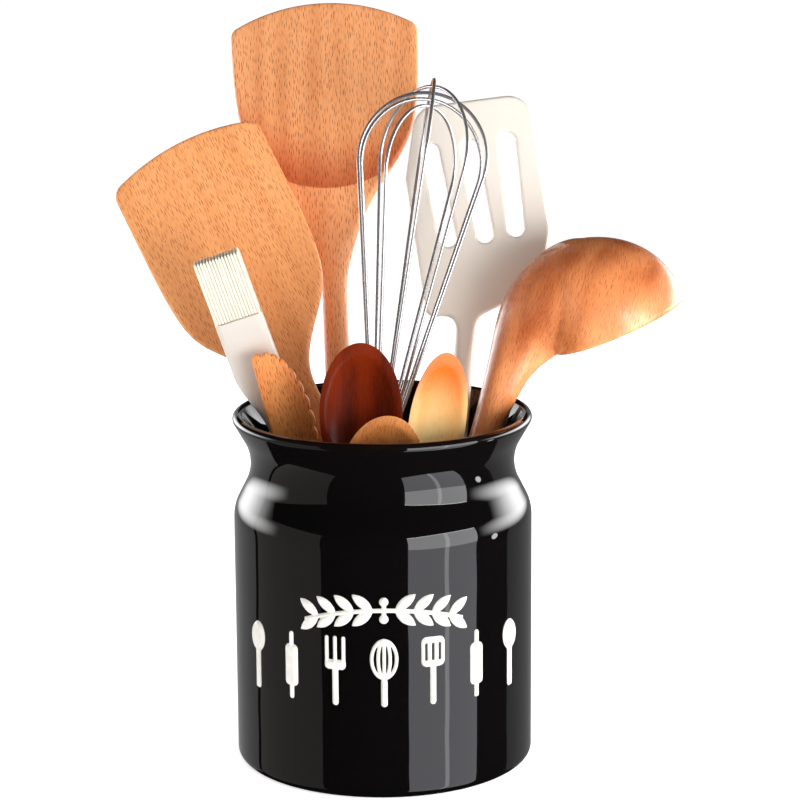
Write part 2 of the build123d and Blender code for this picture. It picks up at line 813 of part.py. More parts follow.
with BuildPart() as slotted_turner:
    with BuildSketch(front_of(slotted_seat)) as slotted_sketch:
        Polygon(*[slotted_point(*shares) for shares in slotted_turner_outline_shares], align=None)
        slotted_corners = slotted_sketch.vertices().sort_by(Axis.Y)
        fillet(slotted_corners[-2:], slotted_turner_corner)
        fillet(slotted_corners[:-2], slotted_turner_shoulder)
        with Locations((0, slotted_turner_blade_foot)):
            Rectangle(2 * slotted_turner_handle_radius, 6 * slotted_turner_handle_radius)
        for shares, lean in zip(slot_centre_shares, slot_leans):
            with Locations(slotted_point(*shares)):
                SlotOverall(slot_length, slot_width, rotation=90 + lean, mode=Mode.SUBTRACT)
    extrude(amount=slotted_turner_blade_thickness / 2, both=True)
    add(slotted_handle)
slotted_turner.part.label = "slotted_turner"

# Ladle
ladle_seat = tool_seat(ladle_butt_shares, ladle_neck_shares, ladle_handle_radius)
ladle_handle = turned_handle(
    ladle_seat, ladle_handle_radius, (ladle_neck_radius, ladle_handle_length)
)
ladle_rim = Plane(
    ladle_seat * Location((ladle_bowl_out, 0, ladle_bowl_height), (0, -ladle_bowl_tilt, 0))
)


def ladle_dome(inset, below):
    """Dome standing on the bowl's rim plane, set in from the outside, on a collar below the plane.

    Its side is one arc that leaves the rim square, and a smaller arc touches it and closes the crown.
    """
    crown_level = ladle_bowl_depth - ladle_crown_radius
    reach = ladle_bowl_radius**2 + crown_level**2 - ladle_crown_radius**2
    side_radius = reach / (2 * (ladle_bowl_radius - ladle_crown_radius))
    side_turn = degrees(atan2(crown_level, side_radius - ladle_bowl_radius))
    side_centre = (ladle_bowl_radius - side_radius, 0)
    foot_radius = ladle_bowl_radius - inset
    with BuildPart() as dome:
        with BuildSketch(front_of(ladle_rim)):
            with BuildLine():
                foot_line = Line((0, -below), (foot_radius, -below))
                if below:
                    Line(foot_line @ 1, (foot_radius, 0))
                side = CenterArc(side_centre, side_radius - inset, 0, side_turn)
                crown = CenterArc((0, crown_level), ladle_crown_radius - inset, side_turn, 90 - side_turn)
                Line(crown @ 1, (0, -below))
            make_face()
        revolve(axis=Axis(ladle_rim.origin, ladle_rim.z_dir))
    return dome.part


ladle_outside = ladle_dome(0, 0)
ladle_inside = ladle_dome(ladle_bowl_wall, ladle_bowl_radius)
with BuildPart() as ladle:
    with BuildSketch(ladle_seat.offset(ladle_handle_length)):
        Circle(ladle_neck_radius)
    for out, height, across, deep, tilt in ladle_throat_shares:
        place = (out * ladle_bowl_out, 0, height * ladle_bowl_height)
        with BuildSketch(Plane(ladle_seat * Location(place, (0, tilt * ladle_bowl_tilt, 0)))):
            Ellipse(across * ladle_bowl_radius, deep * ladle_bowl_radius)
    loft()
    add(ladle_outside)
    add(ladle_handle)
    add(ladle_inside, mode=Mode.SUBTRACT)
ladle.part.label = "ladle"

parts = [
    crock_body.part,
    relief_sprig.part,
    *reliefs,
    wide_turner.part,
    flat_turner.part,
    brush_handle.part,
    brush_head.part,
    scalloped_server.part,
    dark_spoon,
    light_spoon,
    small_spoon,
    whisk_handle.part,
    whisk_plug.part,
    *whisk_wires,
    slotted_turner.part,
    ladle.part,
]

os.makedirs("parts", exist_ok=True)
for part in parts:
    export_step(part, "parts/" + part.label + ".step")
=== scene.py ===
# %% [markdown]
# A black stoneware crock full of kitchen tools, dressed around its CAD frame.
# The frame holds every real size and every moving body. This file gives each piece its finished
# surface: glaze, beech grain, silicone, bristles and steel wire. Shapes are worked out with numpy
# in millimetres, as on a drawing, and become metres when a mesh is made.

# %% Load the fixed frame
import json
import math

import bmesh
import bpy
import numpy as np
from mathutils import Matrix, Vector

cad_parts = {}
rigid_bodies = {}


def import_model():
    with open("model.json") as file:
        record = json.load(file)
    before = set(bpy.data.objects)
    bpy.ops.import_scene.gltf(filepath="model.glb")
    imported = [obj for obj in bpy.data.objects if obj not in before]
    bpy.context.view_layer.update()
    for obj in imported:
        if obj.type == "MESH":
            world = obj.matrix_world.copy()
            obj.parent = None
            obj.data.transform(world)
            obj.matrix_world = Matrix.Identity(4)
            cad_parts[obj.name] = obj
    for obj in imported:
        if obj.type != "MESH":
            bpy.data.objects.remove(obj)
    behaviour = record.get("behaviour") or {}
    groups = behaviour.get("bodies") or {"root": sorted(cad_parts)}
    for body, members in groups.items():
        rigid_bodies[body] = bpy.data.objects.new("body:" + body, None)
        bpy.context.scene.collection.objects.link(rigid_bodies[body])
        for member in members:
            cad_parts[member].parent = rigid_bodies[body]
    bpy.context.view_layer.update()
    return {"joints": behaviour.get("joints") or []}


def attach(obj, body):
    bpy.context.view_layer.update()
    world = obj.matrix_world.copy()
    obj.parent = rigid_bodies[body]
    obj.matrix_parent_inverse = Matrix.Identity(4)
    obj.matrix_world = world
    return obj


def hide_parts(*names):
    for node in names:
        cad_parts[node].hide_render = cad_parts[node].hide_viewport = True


for leftover in list(bpy.data.objects):
    bpy.data.objects.remove(leftover)
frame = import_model()
MM = 0.001
scene = bpy.context.scene

# %% [markdown]
# The photograph was taken from a little above, through a long lens. The camera's place and its
# three angles could be set by eye, but then they would be off by a little. They were fitted once
# instead, to the rim, the foot and the sides of the crock.

# %% Camera at the photograph's viewing angle
CAMERA_PLACE = (0.0, -1.42165, 0.50486)
CAMERA_DOWN = 0.220283
CAMERA_PAN = 0.0064309
CAMERA_ROLL = -0.0067316
CAMERA_LENS = 128.99
SENSOR_WIDTH = 36.0

ahead = np.array(
    (
        math.sin(CAMERA_PAN) * math.cos(CAMERA_DOWN),
        math.cos(CAMERA_PAN) * math.cos(CAMERA_DOWN),
        -math.sin(CAMERA_DOWN),
    )
)
level = np.array((math.cos(CAMERA_PAN), -math.sin(CAMERA_PAN), 0.0))
above = np.cross(level, ahead)
rightward = level * math.cos(CAMERA_ROLL) + above * math.sin(CAMERA_ROLL)
upward = above * math.cos(CAMERA_ROLL) - level * math.sin(CAMERA_ROLL)

camera_data = bpy.data.cameras.new("camera")
camera_data.lens = CAMERA_LENS
camera_data.sensor_width = SENSOR_WIDTH
camera = bpy.data.objects.new("camera", camera_data)
scene.collection.objects.link(camera)
camera.location = CAMERA_PLACE
camera.rotation_euler = Matrix((rightward, upward, -ahead)).transposed().to_euler()
scene.camera = camera
print("camera looks down", round(math.degrees(CAMERA_DOWN), 2), "degrees")

# %% [markdown]
# Every new surface is a grid of points: rows along the piece and columns around it. It could be
# modelled by hand, but a formula keeps the sizes of the frame. A grid becomes quads between
# neighbours, and its poles and seams are merged so that the skin is closed.

# %% Helpers that turn grids into meshes
def grid_faces(rows, columns, around=True):
    """Quads between neighbouring grid points; around joins the last column to the first."""
    row = np.arange(rows - 1)[:, None]
    column = np.arange(columns if around else columns - 1)[None, :]
    beside = (column + 1) % columns
    corners = (row * columns + column, row * columns + beside)
    opposite = ((row + 1) * columns + beside, (row + 1) * columns + column)
    return np.stack(corners + opposite, axis=-1).reshape(-1, 4)


def new_piece(name, points, faces):
    """Mesh object from points in millimetres and faces that index them."""
    mesh = bpy.data.meshes.new(name)
    mesh.from_pydata((np.asarray(points).reshape(-1, 3) * MM).tolist(), [], np.asarray(faces).tolist())
    piece = bpy.data.objects.new(name, mesh)
    scene.collection.objects.link(piece)
    return piece


def vertex_places(piece):
    """Points of a piece's mesh in millimetres, one row each."""
    spots = np.zeros(len(piece.data.vertices) * 3)
    piece.data.vertices.foreach_get("co", spots)
    return spots.reshape(-1, 3) / MM


def close_seams(piece, reach=0.004):
    """Merges points within a reach in millimetres, drops collapsed faces and turns faces outwards."""
    skin = bmesh.new()
    skin.from_mesh(piece.data)
    bmesh.ops.remove_doubles(skin, verts=skin.verts, dist=reach * MM)
    bmesh.ops.dissolve_degenerate(skin, edges=skin.edges, dist=reach * MM / 4)
    bmesh.ops.recalc_face_normals(skin, faces=skin.faces)
    skin.to_mesh(piece.data)
    skin.free()
    piece.data.shade_smooth()
    return piece


print("a closed grid of 3 rows and 4 columns has", len(grid_faces(3, 4)), "faces")

# %% [markdown]
# An outline is drawn as on paper: straight runs, arcs, and a smooth curve through a few points.
# A Blender curve could hold it too, but a plain array of points can be measured and reused, and
# only the few points that the shape needs are typed.

# %% Lines on a drawing
def unit(vector):
    """The same direction with length one."""
    vector = np.asarray(vector, float)
    return vector / np.linalg.norm(vector)


def full_turn(steps):
    """Angles once round, without the last one, which would repeat the first."""
    return np.linspace(0, 2 * math.pi, steps, endpoint=False)


def carried_round(profile, steps):
    """Profile of (radius, height) carried round an upright axis: (r cos t, r sin t, height)."""
    turn = full_turn(steps)
    radius, height = profile[:, :1], profile[:, 1:]
    return np.stack((radius * np.cos(turn), radius * np.sin(turn), height + 0 * turn), axis=-1)


def run(start, end, steps):
    """Points on a straight line, without its ends."""
    share = np.linspace(0, 1, steps + 1)[1:-1, None]
    return np.asarray(start) * (1 - share) + np.asarray(end) * share


def arc(centre, radius, start, end, steps=12):
    """Points on a circle from one angle to another, in degrees."""
    turn = np.radians(np.linspace(start, end, steps + 1))
    return np.c_[centre[0] + radius * np.cos(turn), centre[1] + radius * np.sin(turn)]


def smooth_step(value, low, high):
    """0 below low, 1 above high, and the cubic 3t^2 - 2t^3 between them."""
    share = np.clip((value - low) / (high - low), 0, 1)
    return share * share * (3 - 2 * share)


quarter = arc((0, 0), 10, 0, 90)
print("quarter circle of radius 10:", round(float(np.hypot(*np.diff(quarter, axis=0).T).sum()), 2), "mm")

# %% [markdown]
# A flank or a throat flows through a few points without a kink. Handles of a Bezier curve could
# steer it, but they would all have to be typed. A spline finds its own slopes, so only the points
# and the directions at both ends are given. A corner is rounded by an arc that touches its sides.

# %% Curves and corners
def spline_through(points, first, last, steps):
    """Cubic spans through points, over chord length, whose slopes solve one linear system."""
    points = np.array(points, float)
    chord = np.linalg.norm(np.diff(points, axis=0), axis=1)
    reached = np.r_[0, np.cumsum(chord)]
    system = np.eye(len(points))
    wanted = np.zeros_like(points)
    wanted[0], wanted[-1] = unit(first), unit(last)
    for k in range(1, len(points) - 1):
        system[k, k - 1 : k + 2] = chord[k], 2 * (chord[k - 1] + chord[k]), chord[k - 1]
        behind = (points[k] - points[k - 1]) * chord[k] / chord[k - 1]
        wanted[k] = 3 * (behind + (points[k + 1] - points[k]) * chord[k - 1] / chord[k])
    slope = np.linalg.solve(system, wanted)
    at = np.linspace(0, reached[-1], steps)
    k = np.clip(np.searchsorted(reached, at, "right") - 1, 0, len(points) - 2)
    span = chord[k][:, None]
    u = ((at - reached[k]) / chord[k])[:, None]
    ends = points[k] * (2 * u**3 - 3 * u**2 + 1) + points[k + 1] * (3 * u**2 - 2 * u**3)
    return ends + span * (slope[k] * (u**3 - 2 * u**2 + u) + slope[k + 1] * (u**3 - u**2))


def dense(line, pitch=0.4):
    """The same line with a point at every pitch, so that it can be read at any angle or level."""
    line = np.asarray(line, float)
    reached = np.r_[0, np.cumsum(np.hypot(*np.diff(line, axis=0).T))]
    at = np.linspace(0, reached[-1], int(reached[-1] / pitch) + 2)
    return np.c_[np.interp(at, reached, line[:, 0]), np.interp(at, reached, line[:, 1])]


def rounded_corner(before, corner, after, radius, steps=8):
    """Arc of a radius that touches both sides of a corner."""
    corner = np.asarray(corner, float)
    to_before, to_after = unit(before - corner), unit(after - corner)
    half = math.acos(np.clip(to_before @ to_after, -1, 1)) / 2
    centre = corner + unit(to_before + to_after) * radius / math.sin(half)
    start = corner + to_before * radius / math.tan(half) - centre
    end = corner + to_after * radius / math.tan(half) - centre
    sweep = math.pi - 2 * half
    share = np.linspace(0, 1, steps + 1)[:, None]
    return centre + (np.sin((1 - share) * sweep) * start + np.sin(share * sweep) * end) / math.sin(sweep)


bend = spline_through(((0, 0), (5, 10)), (0, 1), (0, 1), 12)
print("a bend of", len(bend), "points is", len(dense(bend)), "points when it is dense")

# %% [markdown]
# Each tool leans on its own line, which the frame's slide joint gives. It could be modelled where
# it stands, but an outline is easier to draw upright. So a seat holds the tool's own directions,
# right, to the back, and up the handle, from the centre of its rounded butt, and places it last.

# %% Seats of the tools
class ToolSeat:
    """A tool's own place: its butt centre in millimetres and its right, back and up directions."""

    def __init__(self, body, butt, turn=0.0):
        """Up is the joint's axis, right is level and square to it, and back is square to both.

        A turn, in degrees, swings right and back round the handle.
        """
        joint = next(j for j in frame["joints"] if j["child"] == body)
        up = unit(joint["axis"])
        right = unit(np.cross((0, 1, 0), up))
        back = np.cross(up, right)
        swing = math.radians(turn)
        self.butt = np.array(butt, float)
        self.axes = np.array(
            (
                right * math.cos(swing) + back * math.sin(swing),
                back * math.cos(swing) - right * math.sin(swing),
                up,
            )
        )

    def place(self, points):
        """Points given as right, back and up become points of the whole object."""
        return self.butt + np.asarray(points) @ self.axes


butts = {
    "wide_turner": (-16.61, -18.03, 13.1),
    "flat_turner": (47.02, -26.87, 13.3),
    "brush": (-2.40, 43.98, 11.8),
    "scalloped_server": (-12.73, 33.51, 11.5),
    "dark_spoon": (-11.03, -46.38, 11.5),
    "light_spoon": (3.18, -25.17, 11.5),
    "small_spoon": (-38.53, -47.23, 10.9),
    "whisk": (-24.18, -35.28, 15.8),
    "slotted_turner": (27.57, 9.40, 11.3),
    "ladle": (7.56, 2.47, 12.3),
}
turned_by = {"light_spoon": 24.0}
seats = {body: ToolSeat(body, butt, turned_by.get(body, 0.0)) for body, butt in butts.items()}
print("seats", len(seats))

# %% [markdown]
# Materials are made of small node networks. One helper adds a node, sets its inputs and links
# what is already a socket, so that a network reads from top to bottom like a recipe.

# %% Helpers for shader nodes
def srgb(red, green, blue):
    """Screen colour from 0 to 255 as the linear colour that a shader takes."""
    screen = np.array((red, green, blue)) / 255
    linear = np.where(screen <= 0.04045, screen / 12.92, ((screen + 0.055) / 1.055) ** 2.4)
    return (*linear.tolist(), 1.0)


def add_node(tree, kind, inputs, **settings):
    """Adds a node, with its settings, its input values and its links from other sockets."""
    made = tree.nodes.new(kind)
    for setting, value in settings.items():
        setattr(made, setting, value)
    for key, value in inputs.items():
        if isinstance(value, bpy.types.NodeSocket):
            tree.links.new(value, made.inputs[key])
        else:
            made.inputs[key].default_value = value
    return made


def mix_colour(tree, share, first, second, blend="MIX"):
    """Colour between two colours by a share, or the first one multiplied by so much of the second."""
    inputs = {0: share, 6: first, 7: second}
    made = add_node(tree, "ShaderNodeMix", inputs, data_type="RGBA", blend_type=blend)
    return made.outputs[2]


def stretched(tree, vector, scale):
    """A vector with each axis multiplied by its own scale."""
    made = add_node(tree, "ShaderNodeVectorMath", {0: vector, 1: scale}, operation="MULTIPLY")
    return made.outputs[0]


def noise(tree, vector, scale, detail=2.0):
    """Height of a noise pattern, from 0 to 1."""
    inputs = {"Vector": vector, "Scale": scale, "Detail": detail, "Roughness": 0.5, "Distortion": 0.0}
    return add_node(tree, "ShaderNodeTexNoise", inputs).outputs["Fac"]


def ranged(tree, value, low, high, to_low=0.0, to_high=1.0):
    """A value mapped smoothly from one range to another and held at its ends."""
    inputs = {0: value, 1: low, 2: high, 3: to_low, 4: to_high}
    made = add_node(tree, "ShaderNodeMapRange", inputs, interpolation_type="SMOOTHSTEP")
    return made.outputs[0]


def calculated(tree, operation, first, second=0.0):
    """Result of one sum or product."""
    return add_node(tree, "ShaderNodeMath", {0: first, 1: second}, operation=operation).outputs[0]


print("half bright on a screen is", round(srgb(128, 128, 128)[0], 3), "as light")

# %% [markdown]
# A group is a small network with named sockets, and a material is one Principled shader that
# networks feed. What is even all over goes on the shader's own sockets, because an export keeps
# it there. Grain has to lean with its tool, so Object coordinates are turned onto a seat's axes.

# %% Groups and materials
def new_group(name, inputs, outputs):
    """Node group with named sockets; each input is a name, a socket kind and a default value."""
    group = bpy.data.node_groups.new(name, "ShaderNodeTree")
    for title, kind, value in inputs:
        socket = group.interface.new_socket(title, in_out="INPUT", socket_type="NodeSocket" + kind)
        if value is not None:
            socket.default_value = value
    for title, kind in outputs:
        group.interface.new_socket(title, in_out="OUTPUT", socket_type="NodeSocket" + kind)
    return group, group.nodes.new("NodeGroupInput"), group.nodes.new("NodeGroupOutput")


def new_material(name, **shader_values):
    """Material with a Principled shader, whose even values are set on its own sockets."""
    material = bpy.data.materials.new(name)
    material.use_nodes = True
    tree = material.node_tree
    shader = tree.nodes["Principled BSDF"]
    for title, value in shader_values.items():
        shader.inputs[title.replace("_", " ")].default_value = value
    return material, tree, shader


def object_place(tree):
    """Object coordinates, in metres in the frame's own axes."""
    return add_node(tree, "ShaderNodeTexCoord", {}).outputs["Object"]


def place_on_tool(tree, seat):
    """Object coordinates turned into a tool's own right, back and up."""
    turn = Matrix(seat.axes.tolist())
    inputs = {
        "Vector": object_place(tree),
        "Location": -(turn @ Vector(seat.butt * MM)),
        "Rotation": turn.to_euler(),
    }
    return add_node(tree, "ShaderNodeMapping", inputs, vector_type="POINT").outputs[0]


def bump(tree, shader, height, distance):
    """Feeds a height, times a distance in metres, to the shader's normal."""
    inputs = {"Height": height, "Distance": distance, "Strength": 1.0}
    made = add_node(tree, "ShaderNodeBump", inputs)
    tree.links.new(made.outputs[0], shader.inputs["Normal"])


print("materials that came with the frame", len(bpy.data.materials))

# %% [markdown]
# Beech has three layers to the eye: slow bands of tone along the board, fine fibres, and the
# short dark flecks that cooks know it by. A picture of wood could be wrapped on, but it would
# stretch at every bend. One node group makes all three layers from a place on the tool's own
# axes instead, so the grain runs up every handle and through it, as in a sawn board.

# %% Wood grain as a node group
WANDER_SCALE, WANDER_STRETCH, WANDER_REACH = 22.0, (1.0, 1.0, 0.16), 0.05
SLOW_SCALE, SLOW_STRETCH = 70.0, (1.0, 1.0, 0.12)
FIBRE_SCALE, FIBRE_STRETCH = 1300.0, (1.0, 1.0, 0.03)
RING_SHARE, SLOW_SHARE, FIBRE_SHARE = 0.10, 0.9, 0.35
TONE_MEAN, TONE_MIDDLE = 0.62, 0.4
FLECK_SCALE, FLECK_STRETCH, FLECK_SHAPE = 700.0, (1.15, 0.12, 0.29), (1.0, 0.0, 0.5)
FLECK_CORE, FLECK_EDGE, FAINTEST_FLECK = 0.0001, 0.00034, 0.3


def make_wood_grain():
    """Tone is a sine of the distance across plus two noises; flecks are the hearts of long cells."""
    group, given, result = new_group(
        "wood_grain",
        [
            ("Vector", "Vector", None),
            ("Light", "Color", srgb(246, 172, 110)),
            ("Dark", "Color", srgb(205, 122, 62)),
            ("Fleck", "Color", srgb(160, 84, 42)),
            ("Band Scale", "Float", 60.0),
            ("Band Contrast", "Float", 0.6),
            ("Fleck Amount", "Float", 0.5),
            ("Seed", "Float", 0.0),
        ],
        [("Color", "Color"), ("Height", "Float"), ("Roughness Shift", "Float")],
    )

    def sum_of(operation, first, second):
        """Result of one sum or product in this group."""
        return calculated(group, operation, first, second)

    def vectors(operation, first, second=(0, 0, 0)):
        """Node that works on one or two vectors."""
        return add_node(group, "ShaderNodeVectorMath", {0: first, 1: second}, operation=operation)

    place = vectors("ADD", given.outputs["Vector"], given.outputs["Seed"]).outputs[0]
    wander = noise(group, stretched(group, place, WANDER_STRETCH), WANDER_SCALE)
    across = add_node(group, "ShaderNodeSeparateXYZ", {0: place}).outputs[0]
    phase = sum_of("ADD", across, sum_of("MULTIPLY", wander, WANDER_REACH))
    ring_turn = sum_of("MULTIPLY", phase, given.outputs["Band Scale"])
    rings = sum_of("SINE", sum_of("MULTIPLY", ring_turn, 2 * math.pi), 0.0)
    slow = noise(group, stretched(group, place, SLOW_STRETCH), SLOW_SCALE, 3.0)
    fibre = noise(group, stretched(group, place, FIBRE_STRETCH), FIBRE_SCALE)
    tone = sum_of("ADD", sum_of("MULTIPLY", rings, RING_SHARE), sum_of("MULTIPLY", slow, SLOW_SHARE))
    tone = sum_of("ADD", tone, sum_of("MULTIPLY", fibre, FIBRE_SHARE))
    tone = sum_of("MULTIPLY", sum_of("SUBTRACT", tone, TONE_MEAN), given.outputs["Band Contrast"])
    tone = ranged(group, sum_of("ADD", tone, TONE_MIDDLE), 0.0, 1.0)
    board = mix_colour(group, tone, given.outputs["Light"], given.outputs["Dark"])

    long_place = stretched(group, place, FLECK_STRETCH)
    cells = add_node(group, "ShaderNodeTexVoronoi", {"Vector": long_place, "Scale": FLECK_SCALE})
    away = vectors("SUBTRACT", long_place, cells.outputs["Position"]).outputs[0]
    away = vectors("LENGTH", stretched(group, away, FLECK_SHAPE)).outputs["Value"]
    strength = add_node(group, "ShaderNodeSeparateColor", {0: cells.outputs["Color"]}).outputs[0]
    strength = ranged(group, strength, 0.0, 1.0, FAINTEST_FLECK, 1.0)
    fleck = sum_of("MULTIPLY", ranged(group, away, FLECK_CORE, FLECK_EDGE, 1.0, 0.0), strength)
    share = sum_of("MULTIPLY", fleck, given.outputs["Fleck Amount"])
    made = {
        "Color": mix_colour(group, share, board, given.outputs["Fleck"]),
        "Height": sum_of("SUBTRACT", fibre, fleck),
        "Roughness Shift": ranged(group, fibre, 0.3, 0.7, -0.05, 0.05),
    }
    for title, socket in made.items():
        group.links.new(socket, result.inputs[title])
    return group


wood_grain = make_wood_grain()
print("group", wood_grain.name, "with", len(wood_grain.nodes), "nodes")

# %% [markdown]
# Each tool has its own board and finish: oil on the turners and the server, a satin sheen on the
# ladle, lacquer on the dark spoon and varnish on the other two. Where a tool's light and shade
# change along it, painted shading tints it between two levels. Each wood could be a network of its
# own, but then a change to the grain would be made seven times: a table holds what differs instead.

# %% Wood in its finishes
PORE_DEPTH = 0.00006


def wood_material(name, seat, light, dark, fleck, finish, grain, painted_shading=None):
    """Wood on a tool's own axes; finish gives the shader's even values, grain the group's.

    Painted shading is a direction on the tool, two levels along it and a tint that stands in for
    light and shade: nothing at the first level, all of it at the second.
    """
    material, tree, shader = new_material(name, **finish)
    place = place_on_tool(tree, seat)
    colours = {"Light": srgb(*light), "Dark": srgb(*dark), "Fleck": srgb(*fleck)}
    inputs = {"Vector": place, **colours, **grain}
    made = add_node(tree, "ShaderNodeGroup", inputs, node_tree=wood_grain)
    colour = made.outputs["Color"]
    # Painted shading: a tint along the tool that stands in for light and shade.
    if painted_shading:
        along, clear, full, tint = painted_shading
        inputs = {0: place, 1: along}
        level = add_node(tree, "ShaderNodeVectorMath", inputs, operation="DOT_PRODUCT").outputs["Value"]
        ends = (clear, full, 0.0, 1.0) if clear < full else (full, clear, 1.0, 0.0)
        colour = mix_colour(tree, ranged(tree, level, *ends), colour, srgb(*tint), "MULTIPLY")
    tree.links.new(colour, shader.inputs["Base Color"])
    roughness = calculated(tree, "ADD", made.outputs["Roughness Shift"], finish["Roughness"])
    tree.links.new(roughness, shader.inputs["Roughness"])
    bump(tree, shader, made.outputs["Height"], PORE_DEPTH)
    return material


print("pores", round(PORE_DEPTH / MM, 3), "mm deep")

# %% [markdown]
# Each tool's light, dark and fleck colours were set by holding its render against the photograph.
# They could stand beside each tool's shape, but in one table two woods are compared at a glance,
# and a tool whose board is too red or too even stands out.

# %% The seven woods
def finish_of(roughness, specular, coat=0.0, coat_roughness=0.03):
    """Even values of a wood's shader; coat is the share of clear lacquer over it."""
    return {
        "Roughness": roughness,
        "Specular_IOR_Level": specular,
        "Coat_Weight": coat,
        "Coat_Roughness": coat_roughness,
    }


def grain_of(amount, seed, contrast=0.6):
    """What differs in the grain: how strong the flecks are, where the board was cut, its bands."""
    return {"Fleck Amount": amount, "Seed": seed, "Band Contrast": contrast}


OILED = finish_of(0.46, 0.4)
UPWARDS = (0, 0, 1)
INTO_THE_BOWL = (-0.643, 0, 0.766)
woods = {
    # Painted shade: the wide turner is darker towards the bottom, where the tools beside it shade it.
    "wide_turner": (
        "oiled_beech_wide", (250, 176, 118), (214, 128, 70), (150, 66, 30),
        OILED, grain_of(0.85, 0.3, 0.75), (UPWARDS, 0.292, 0.25, (224, 222, 224)),
    ),
    # Painted shade: the flat turner is darker towards the bottom, where the tools beside it shade it.
    "flat_turner": (
        "oiled_beech_flat", (252, 176, 112), (222, 138, 76), (164, 74, 30),
        OILED, grain_of(0.85, 1.7, 0.7), (UPWARDS, 0.305, 0.225, (224, 216, 208)),
    ),
    "scalloped_server": (
        "oiled_beech_server", (255, 170, 98), (224, 116, 52), (128, 50, 18),
        OILED, grain_of(0.8, 2.9, 0.8),
    ),
    # Painted shade: the ladle is darker over the crown of its bowl and its throat.
    "ladle": (
        "oiled_beech_ladle", (248, 164, 104), (190, 102, 50), (134, 58, 22),
        finish_of(0.3, 0.6, 0.5, 0.16), grain_of(0.6, 4.1, 1.6),
        (INTO_THE_BOWL, 0.146, 0.166, (226, 208, 194)),
    ),
    "dark_spoon": (
        "lacquered_dark_wood", (118, 36, 6), (56, 9, 0), (44, 10, 2),
        finish_of(0.36, 0.08, 0.09, 0.1), grain_of(0.3, 5.3, 1.5),
    ),
    # Painted highlight: the light spoon is pale cream low in its bowl and turns orange towards its top.
    "light_spoon": (
        "varnished_golden_wood", (255, 230, 166), (255, 196, 106), (222, 146, 74),
        finish_of(0.3, 0.2, 0.12, 0.15), grain_of(0.25, 6.1, 0.9),
        (UPWARDS, 0.162, 0.2, (234, 122, 62)),
    ),
    "small_spoon": (
        "varnished_pale_wood", (226, 146, 80), (168, 92, 40), (84, 40, 14),
        finish_of(0.38, 0.5, 0.3, 0.2), grain_of(0.6, 7.7),
    ),
}
wood = {body: wood_material(name, seats[body], *look) for body, (name, *look) in woods.items()}
print("woods", sorted(wood))

# %% [markdown]
# The glaze is a black glass on clay. It is smooth but never dead flat: it wanders a little under
# a reflection, and it breaks to brown where it ran thin over the lip. The thinness is an
# attribute of the mesh, because it belongs to the shape. The same attribute also carries a painted
# reflection of the wooden tools: brown on the inside wall towards the lip.

# %% Glaze and slip
GLAZE_WAVE, SLIP_GRAIN = 0.00022, 0.00012

black_glaze, tree, shader = new_material("black_glaze", Roughness=0.035, Specular_IOR_Level=0.5)
# The attribute holds thin glaze over the lip and a painted reflection of the wooden tools inside the neck.
thin = add_node(tree, "ShaderNodeAttribute", {}, attribute_name="thin_glaze_and_painted_reflection").outputs["Fac"]
mottle = ranged(tree, noise(tree, object_place(tree), 90.0, 3.0), 0.2, 0.7, 0.4, 1.0)
thin = calculated(tree, "MULTIPLY", thin, mottle)
# Brown of the clay under thin glaze, also used as the painted reflection inside the neck.
glaze_and_reflection_tone = mix_colour(tree, thin, srgb(7, 6, 6), srgb(40, 22, 14))
tree.links.new(glaze_and_reflection_tone, shader.inputs["Base Color"])
bump(tree, shader, noise(tree, object_place(tree), 32.0, 1.0), GLAZE_WAVE)

white_slip, tree, shader = new_material("white_slip", Roughness=0.16, Specular_IOR_Level=0.5)
mottle = noise(tree, object_place(tree), 260.0)
slip_tone = mix_colour(tree, ranged(tree, mottle, 0.3, 0.7), srgb(222, 219, 210), srgb(232, 230, 224))
tree.links.new(slip_tone, shader.inputs["Base Color"])
bump(tree, shader, mottle, SLIP_GRAIN)
print("glaze and slip", len(bpy.data.materials), "materials so far")

# %% [markdown]
# The crock was thrown on a wheel, so its skin is one profile carried round. The profile runs from
# the centre of the foot, up the outside, over the lip, and down the inside to the floor. A screw
# modifier could turn it too, but a mesh of known points can also carry how thin the glaze is.

# %% The crock
JAR_HEIGHT = 181.2
JAR_RADIUS = 76.2
JAR_WALL = 5.5
SHOULDER_HEIGHT = 127.3
SHOULDER_ROUND = 22.0
SHOULDER_TURN = 27.0
NECK_RADIUS = 67.3
NECK_HEIGHT = 155.8
NECK_ROUND = 24.0
FLARE_TURN = 30.0
FLOOR_THICKNESS = 6.0
FLOOR_CORNER = 4.0
FOOT_ROUND = 4.7
TURN_STEPS = 240


def lathe(name, profile, seat=None, steps=TURN_STEPS):
    """Piece whose profile is carried round the upright axis of a seat, or of the object."""
    points = carried_round(profile, steps).reshape(-1, 3)
    if seat is not None:
        points = seat.place(points)
    return close_seams(new_piece(name, points, grid_faces(len(profile), steps)))


